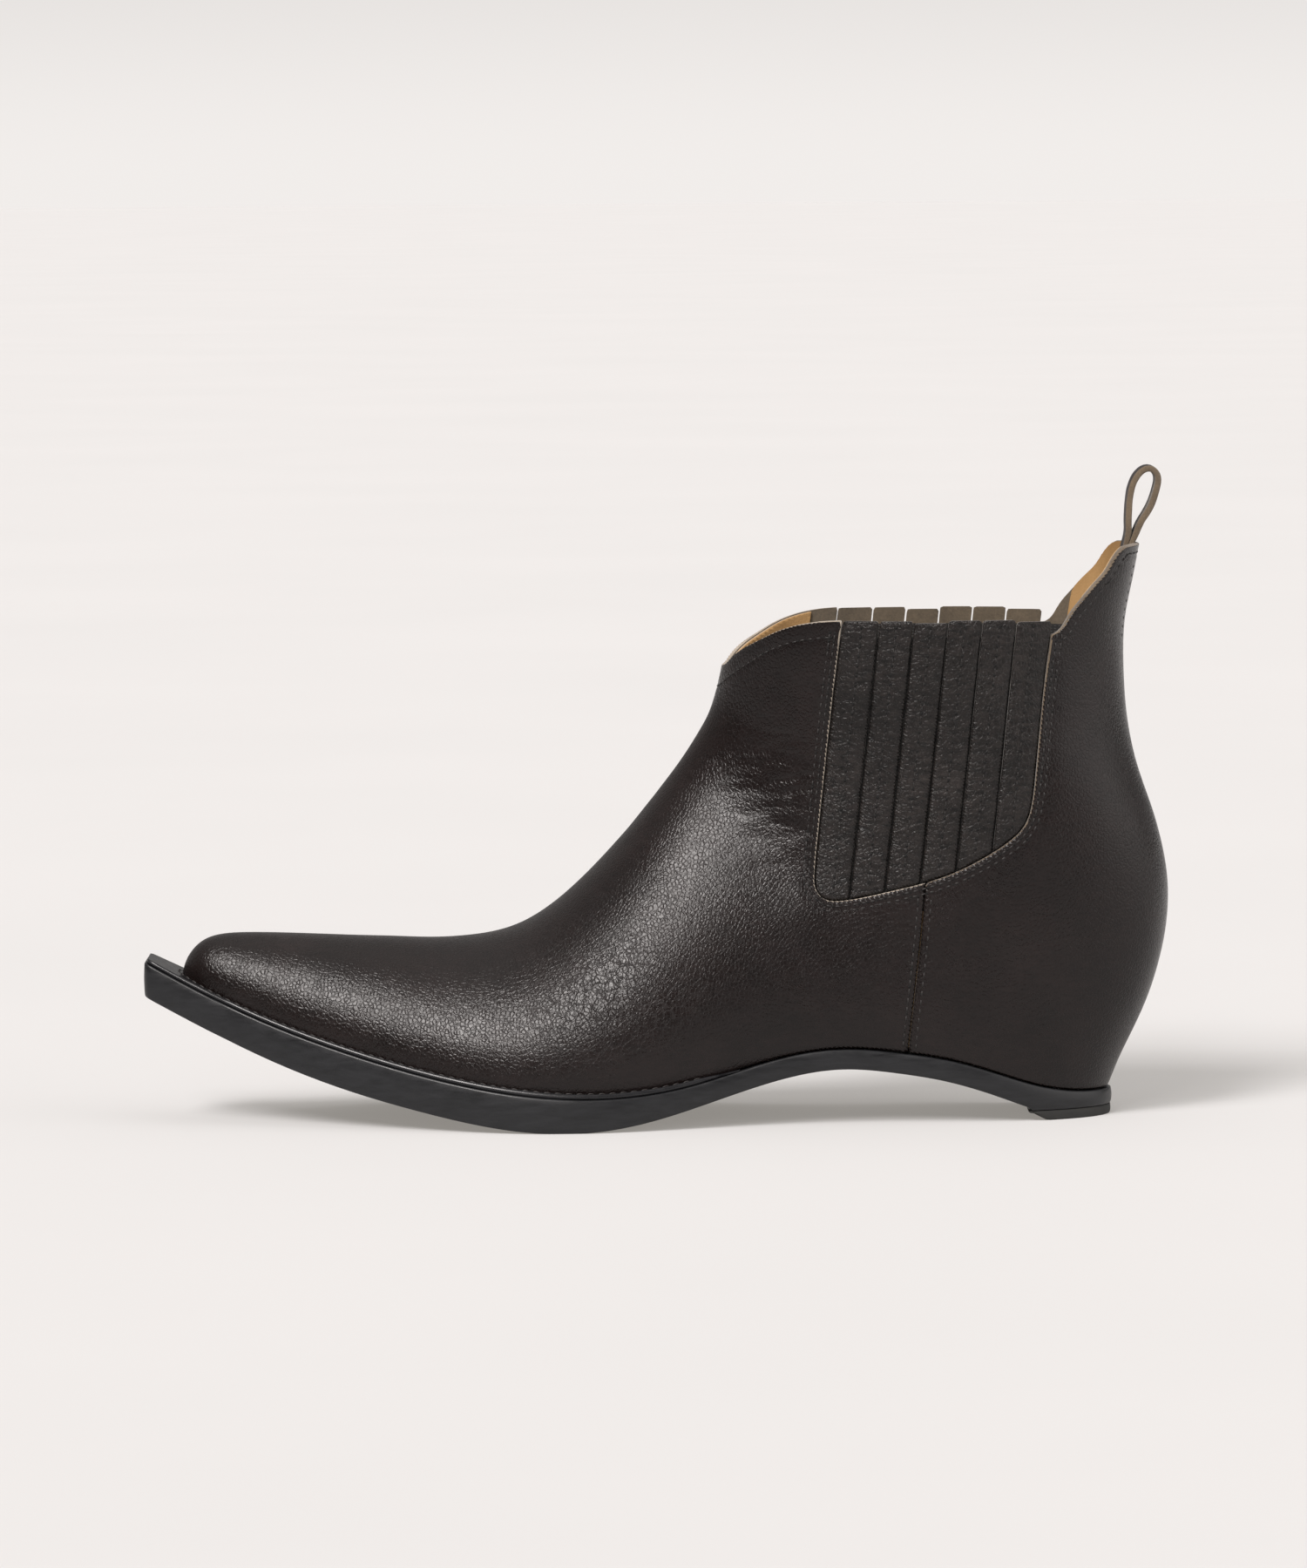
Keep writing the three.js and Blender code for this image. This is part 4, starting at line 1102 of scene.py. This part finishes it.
def stiffened(p):
    """Room for the toe puff and the heel counter."""
    toe = ramp(p[:, 0], -194, -204)
    heel = ramp(p[:, 0], -58, -48) * ramp(p[:, 2], 84, 74)
    return (STIFFENER + FIT) * np.maximum(toe, heel)


def lining_depth(panel):
    near_top = 1 - ramp(panel.edge_gap, 2.0, 9.0)
    high = ramp(panel.at[:, 2], 115, 125)
    back = ramp(panel.at[:, 0], -30, -10)
    behind = LEATHER + FIT + 0.02
    return behind + (-0.27 + 0.36 * back) * near_top * high + stiffened(panel.at)


def lining_panel(name, loop, replaced):
    panel = Panel(loop, 2.0)
    lumps = 0.14 * noise(panel.at, 16, 31)
    depth = lining_depth(panel)
    far = depth + LINING + lumps - rounded_edge(panel.edge_gap, 0.25)
    inner = panel.at - panel.normal * far[:, None]
    outer = panel.at - panel.normal * depth[:, None]
    piece = closed_mesh(name, outer, inner, panel.faces, panel.boundary,
                        [LINING_EDGE, LINING_EDGE, LINING_FACE])
    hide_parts(replaced)


lining_panel("vamp_lining_leather", shell_front(8.3, 5.3, -0.35), "vamp_lining")
lining_panel("quarter_lining_leather", shell_back(8.3, -5.3, -0.35), "quarter_lining")

# ---------------------------------------------------------------- sole

TIP_REACH, TIP_WIDTH, WELT_INSET, WELT_END = 11.0, 21.0, 0.8, -98.0
HEEL_FRONT, HEEL_CONTACT, LIFT_HEIGHT = -12.5, -7.0, 3.0


def footprint(side):
    u = NOSE_U + (HEEL_U - NOSE_U) * (0.5 - 0.5 * np.cos(np.linspace(0, math.pi, 500)))
    w = feather_q(u, side)
    return last(u, side * w)[:, :2]


prints = {side: footprint(side) for side in (LATERAL, MEDIAL)}
NOSE_X = prints[LATERAL][0, 0]


def overhang(x):
    return 1.0 + 2.0 * ramp(x, WELT_END + 25, WELT_END - 25)


def outward(line, side):
    along = unit(np.gradient(line, axis=0))
    return np.stack([along[:, 1], -along[:, 0]], 1) * (-side)


def side_run(side, inset):
    """The sole edge on one side, from the squared tip to the middle of the heel."""
    line = resample(prints[side], 1.0)
    moved = line + outward(line, side) * (overhang(line[:, 0]) - inset)[:, None]
    root = NOSE_X + 14
    moved = moved[moved[:, 0] > root + 1.5]
    width = np.abs(line[np.argmax(line[:, 0] > root), 1]) + 3.0 - inset
    half, front = TIP_WIDTH / 2 - inset, NOSE_X - TIP_REACH + inset
    start = np.array([(front, 0), (front, half - 2.4), (front + 0.6, half - 0.7),
                      (front + 2.2, half + 0.1), (root - 6, half + (width - half) * 0.79),
                      (root, width)])
    start[:, 1] *= side
    return np.vstack([start, moved])


def sole_loop(inset):
    outer, inner = side_run(LATERAL, inset), side_run(MEDIAL, inset)
    loop = np.vstack([outer, inner[::-1][:-1]])
    return softened(loop, 1.4, 0.5)


class Slab:
    """A flat-domain mesh over a closed loop in plan."""

    def __init__(self, loop, step=2.6, rows=(0.15, 0.4, 0.8, 1.5, 2.6)):
        loop = resample(loop, 1.3, closed=True)
        if signed_area(loop) < 0:
            loop = loop[::-1]
        along = unit(np.roll(loop, -1, axis=0) - np.roll(loop, 1, axis=0))
        left = np.stack([-along[:, 1], along[:, 0]], 1)
        inner = np.vstack([loop + left * d for d in rows])
        wanted = np.repeat(rows, len(loop))
        dense = resample(loop, 0.4, closed=True)
        inner = inner[inside(inner, loop) & (nearest(inner, dense) > wanted * 0.85)]
        fill = hexagons(loop.min(0), loop.max(0), step)
        fill = fill[inside(fill, loop)]
        fill = fill[nearest(fill, dense) > rows[-1] + 0.5 * step]
        self.at, faces, self.boundary = triangulated(loop, np.vstack([inner, fill]))
        self.gap = nearest(self.at, dense)
        self.gap[self.boundary] = 0
        self.faces = np.array(faces)
        a, b, c = (self.at[self.faces[:, k]] for k in range(3))
        turn = (b[:, 0] - a[:, 0]) * (c[:, 1] - a[:, 1]) - (b[:, 1] - a[:, 1]) * (c[:, 0] - a[:, 0])
        if turn.sum() < 0:
            self.faces = self.faces[:, ::-1]


def walled(name, slab, top, bottom, material, replaced, edge, levels=5, bulge=0.18):
    """A solid between two height fields with rounded rims and a slightly swelling wall."""
    n, ring = len(slab.at), np.asarray(slab.boundary)
    drop = rounded_edge(slab.gap, edge)
    upper = np.c_[slab.at, top - drop]
    lower = np.c_[slab.at, bottom + drop]
    if not forward(ring, slab.faces):
        ring = ring[::-1]
    m = len(ring)
    rim = slab.at[ring]
    along = unit(np.roll(rim, -1, axis=0) - np.roll(rim, 1, axis=0))
    out = np.stack([along[:, 1], -along[:, 0]], 1)
    walls = []
    for k in range(1, levels):
        t = k / levels
        z = upper[ring, 2] * (1 - t) + lower[ring, 2] * t
        push = bulge * math.sin(math.pi * t)
        walls.append(np.c_[rim + out * push, z])
    verts = np.vstack([upper, lower, *walls])
    rows = [ring] + [2 * n + k * m + np.arange(m) for k in range(levels - 1)] + [ring + n]
    faces = [*slab.faces, *(slab.faces[:, ::-1] + n)]
    for a, b in zip(rows[:-1], rows[1:]):
        faces += list(np.stack([np.roll(a, -1), a, b, np.roll(b, -1)], 1))
    piece = made(name, verts, faces, [material], None)
    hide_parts(replaced)


sole_slab = Slab(sole_loop(0.0))
sole_x = sole_slab.at[:, 0]
sole_under = np.where(sole_x > HEEL_FRONT, LIFT_HEIGHT + 0.04,
                      np.maximum(0.02, sole_bottom(np.minimum(sole_x, HEEL_FRONT))))
walled("outsole_rubber", sole_slab, sole_top(sole_x) - 0.02, sole_under, SOLE, "outsole",
       edge=0.55)

lift_loop = sole_loop(0.25)
lift_loop = clipped(lift_loop, [(HEEL_FRONT, -60), (60, -60), (60, 60), (HEEL_FRONT, 60)])
lift_slab = Slab(softened(lift_loop, 1.2, 0.5), 2.0, (0.15, 0.4, 0.8, 1.5))
bevel = LIFT_HEIGHT * np.clip((HEEL_CONTACT - lift_slab.at[:, 0]) / (HEEL_CONTACT - HEEL_FRONT), 0, 0.8)
walled("heel_top_lift_rubber", lift_slab, np.full(len(lift_slab.at), LIFT_HEIGHT), bevel, LIFT,
       "heel_top_lift", edge=0.35, bulge=0.1)


def welt_loop():
    outer = side_run(LATERAL, WELT_INSET)
    inner = side_run(MEDIAL, WELT_INSET)
    outer, inner = outer[outer[:, 0] < WELT_END], inner[inner[:, 0] < WELT_END]
    holes = {}
    for s in (LATERAL, MEDIAL):
        line = resample(prints[s][prints[s][:, 0] < WELT_END], 1.0)
        holes[s] = line - 0.35 * outward(line, s)
    return np.vstack([outer[::-1], inner[1:], holes[MEDIAL][::-1], holes[LATERAL][1:]])


welt_slab = Slab(welt_loop(), 1.4, (0.15, 0.4, 0.8))
welt_x = welt_slab.at[:, 0]
welt_end_taper = ramp(welt_x, WELT_END, WELT_END - 14)
welt_top = feather(welt_x) + 0.15 + 1.15 * welt_end_taper
walled("welt_strip", welt_slab, welt_top, sole_top(welt_x) - 0.05, WELT, "welt",
       edge=0.5, levels=3, bulge=0.1)

for side, label in ((LATERAL, "outer"), (MEDIAL, "inner")):
    line = resample(prints[side], 0.6)
    line = line[line[:, 0] < WELT_END - 12]
    line = line + 1.15 * outward(line, side)
    path = np.c_[line, feather(line[:, 0]) + 1.30]
    normals = np.tile([0.0, 0.0, 1.0], (len(path), 1))
    stitches("stitches_welt_" + label, path, normals, 3.2, 0.3, lift=-0.02)

# ---------------------------------------------------------------- pull tab

HINGE_X, HINGE_Z = 19.8, 172.6
TAB_WIDTH = 11.0


def back_line(z):
    """x of the boot's back line at a height near the top."""
    return last(np.interp(z, [150, 178], [20.76, 23.0]), 2.0)[0]


def tab_strap():
    """One strap: up from behind the back's top edge, round the loop and down again."""
    loop = np.array([(-1.05, 1.2), (-1.2, 5), (-0.9, 12), (0.4, 17.2), (3.2, 20.4), (6.0, 20.7),
                     (7.9, 18.2), (7.4, 14.4), (5.3, 8.8), (2.2, 4.2), (1.05, 1.2)])
    loop = loop + (HINGE_X, HINGE_Z)
    legs = (157, 161, 165, 168.5)
    inner_leg = [(back_line(z) - 3.75, z) for z in legs]
    outer_leg = [(back_line(z) - 2.35, z) for z in legs[::-1]]
    knots = np.vstack([inner_leg, loop, outer_leg])
    fine = rounded(knots, 3)
    middle = resample(fine, 0.8)
    thick = np.interp(middle[:, 1], [157, 169, 174], [1.2, 1.3, 1.85])
    along = unit(np.gradient(middle, axis=0))
    out = np.stack([-along[:, 1], along[:, 0]], 1)
    half = TAB_WIDTH / 2
    flat = np.linspace(-1, 1, 9) * (half - 0.35)
    profile_points = [(y, 0.5) for y in flat]
    profile_points += [(half - 0.08, 0.34), (half, 0.0), (half - 0.08, -0.34)]
    profile_points += [(y, -0.5) for y in flat[::-1]]
    profile_points += [(-half + 0.08, -0.34), (-half, 0.0), (-half + 0.08, 0.34)]
    m = len(profile_points)
    verts, faces, index = [], [], []
    for i, p in enumerate(middle):
        lump = noise(np.array([[p[0], 0, p[1]]]), 6.0, 41)[0] * 0.12
        for y, v in profile_points:
            ripple = 0.08 * noise(np.array([[p[0], y, p[1]]]), 2.6, 43)[0]
            place = p + out[i] * (v * thick[i] + lump + ripple * (abs(v) > 0.4))
            verts.append((place[0], y * (1 + 0.01 * lump), place[1]))
    for i in range(len(middle) - 1):
        for k in range(m):
            j = (k + 1) % m
            faces.append((i * m + k, i * m + j, (i + 1) * m + j, (i + 1) * m + k))
            sideways = 8 <= k <= 11 or k >= 20
            index.append(1 if sideways else (0 if k < 8 else 2))
    faces.append(tuple(reversed(range(m))))
    faces.append(tuple((len(middle) - 1) * m + k for k in range(m)))
    index += [1, 1]
    strap = made("pull_tab_strap", verts, faces, [TAB, RAW, FLESH], index, None)
    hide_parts("pull_tab_loop", "pull_tab_tail")
    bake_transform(strap)


tab_strap()

# ---------------------------------------------------------------- camera, light and floor

CAMERA_AT, CAMERA_PITCH, LENS = (-0.12428, -2.4, 0.295), math.radians(4.649), 184.6
ROLL, ROLL_CENTRE = math.radians(0.43), (-0.152, 0, 0)
LAMP_COLOUR = (1.0, 0.955, 0.93)
LAMPS = (       # name, direction towards it, power, width in degrees
    ("ceiling", (-0.05, 0.05, 1.0), 0.4, 60),
    ("key_high", (-0.36, -0.50, 0.79), 1.75, 18),
    ("key_middle", (-0.38, -0.66, 0.65), 1.8, 18),
    ("key_ball", (-0.19, -0.80, 0.57), 0.55, 12),
    ("key_low", (-0.05, -0.95, 0.30), 0.22, 14),
)
PALE = (0.905, 0.872, 0.85, 1)           # the background as the camera sees it
FLOOR_GLOW = (0.905, 0.85, 0.78, 1)      # a little of the floor's light is its own, so shadows stay open
FLOOR_REACH, FLOOR_FRONT = 30.0, -0.95   # the front edge keeps the floor out of the boot's reflections


def aim_camera():
    data = bpy.data.cameras.new("camera")
    data.lens, data.sensor_width, data.sensor_fit = LENS, 36.0, "AUTO"
    data.clip_start, data.clip_end = 0.05, 50
    camera = bpy.data.objects.new("camera", data)
    bpy.context.scene.collection.objects.link(camera)
    aimed = Matrix.Translation(CAMERA_AT) @ Matrix.Rotation(math.pi / 2 - CAMERA_PITCH, 4, "X")
    pivot = Matrix.Translation(ROLL_CENTRE)
    camera.matrix_world = pivot @ Matrix.Rotation(ROLL, 4, "Y") @ pivot.inverted() @ aimed
    bpy.context.scene.camera = camera


def far_softbox(name, towards, power, spread_degrees):
    """A very distant soft light, so the floor is lit evenly."""
    data = bpy.data.lights.new(name, "SUN")
    data.energy, data.angle = power, math.radians(spread_degrees)
    data.color = LAMP_COLOUR
    lamp = bpy.data.objects.new(name, data)
    bpy.context.scene.collection.objects.link(lamp)
    lamp.rotation_mode = "QUATERNION"
    lamp.rotation_quaternion = Vector(towards).to_track_quat("Z", "Y")


def room():
    """Pale to the eye from every side; as light, brighter above and behind than from the front."""
    world = bpy.data.worlds.new("studio")
    m = Nodes(world, "Generated")
    split = m.add("SeparateXYZ")
    m.put(split.inputs[0], m.place)
    tilt = m.maths("MULTIPLY_ADD", split.outputs["Y"], 0.5, m.maths("MULTIPLY", split.outputs["Z"], 0.7))
    ambient = m.span(tilt, (-0.3, 0.8), (0.015, 0.42))
    right = m.vector("DOT_PRODUCT", m.place, (0.90, -0.32, 0.28)).outputs["Value"]
    light = m.maths("ADD", ambient, m.span(right, (0.72, 0.97), (0.0, 1.9)))
    shown = m.span(split.outputs["Z"], (-0.005, 0.032), (0.975, 0.84))
    pick = m.add("Mix", data_type="FLOAT")
    for socket, value in zip(pick.inputs[:1] + pick.inputs[2:4],
                             (m.add("LightPath").outputs["Is Camera Ray"], light, shown)):
        m.put(socket, value)
    m.fill(m.tree.nodes["Background"], Strength=pick.outputs[0], Color=PALE)
    bpy.context.scene.world = world


def studio():
    mesh = bpy.data.meshes.new("floor")
    r = FLOOR_REACH
    mesh.from_pydata([(-r, FLOOR_FRONT, 0), (r, FLOOR_FRONT, 0), (r, r, 0), (-r, r, 0)], [],
                     [(0, 1, 2, 3)])
    m = Material("floor_paper")
    paper = m.colours(m.noise(3.0, 3.0, 0.5), (0.3, (0.417, 0.420, 0.430)), (0.7, (0.430, 0.432, 0.442)))
    mesh.materials.append(m.finish(
        Base_Color=paper, Roughness=0.9, Specular_IOR_Level=0.1, Emission_Strength=0.29,
        Emission_Color=FLOOR_GLOW))
    floor = bpy.data.objects.new("floor", mesh)
    bpy.context.scene.collection.objects.link(floor)
    room()
    for lamp in LAMPS:
        far_softbox(*lamp)
    bpy.context.scene.view_settings.view_transform = "Standard"


aim_camera()
studio()
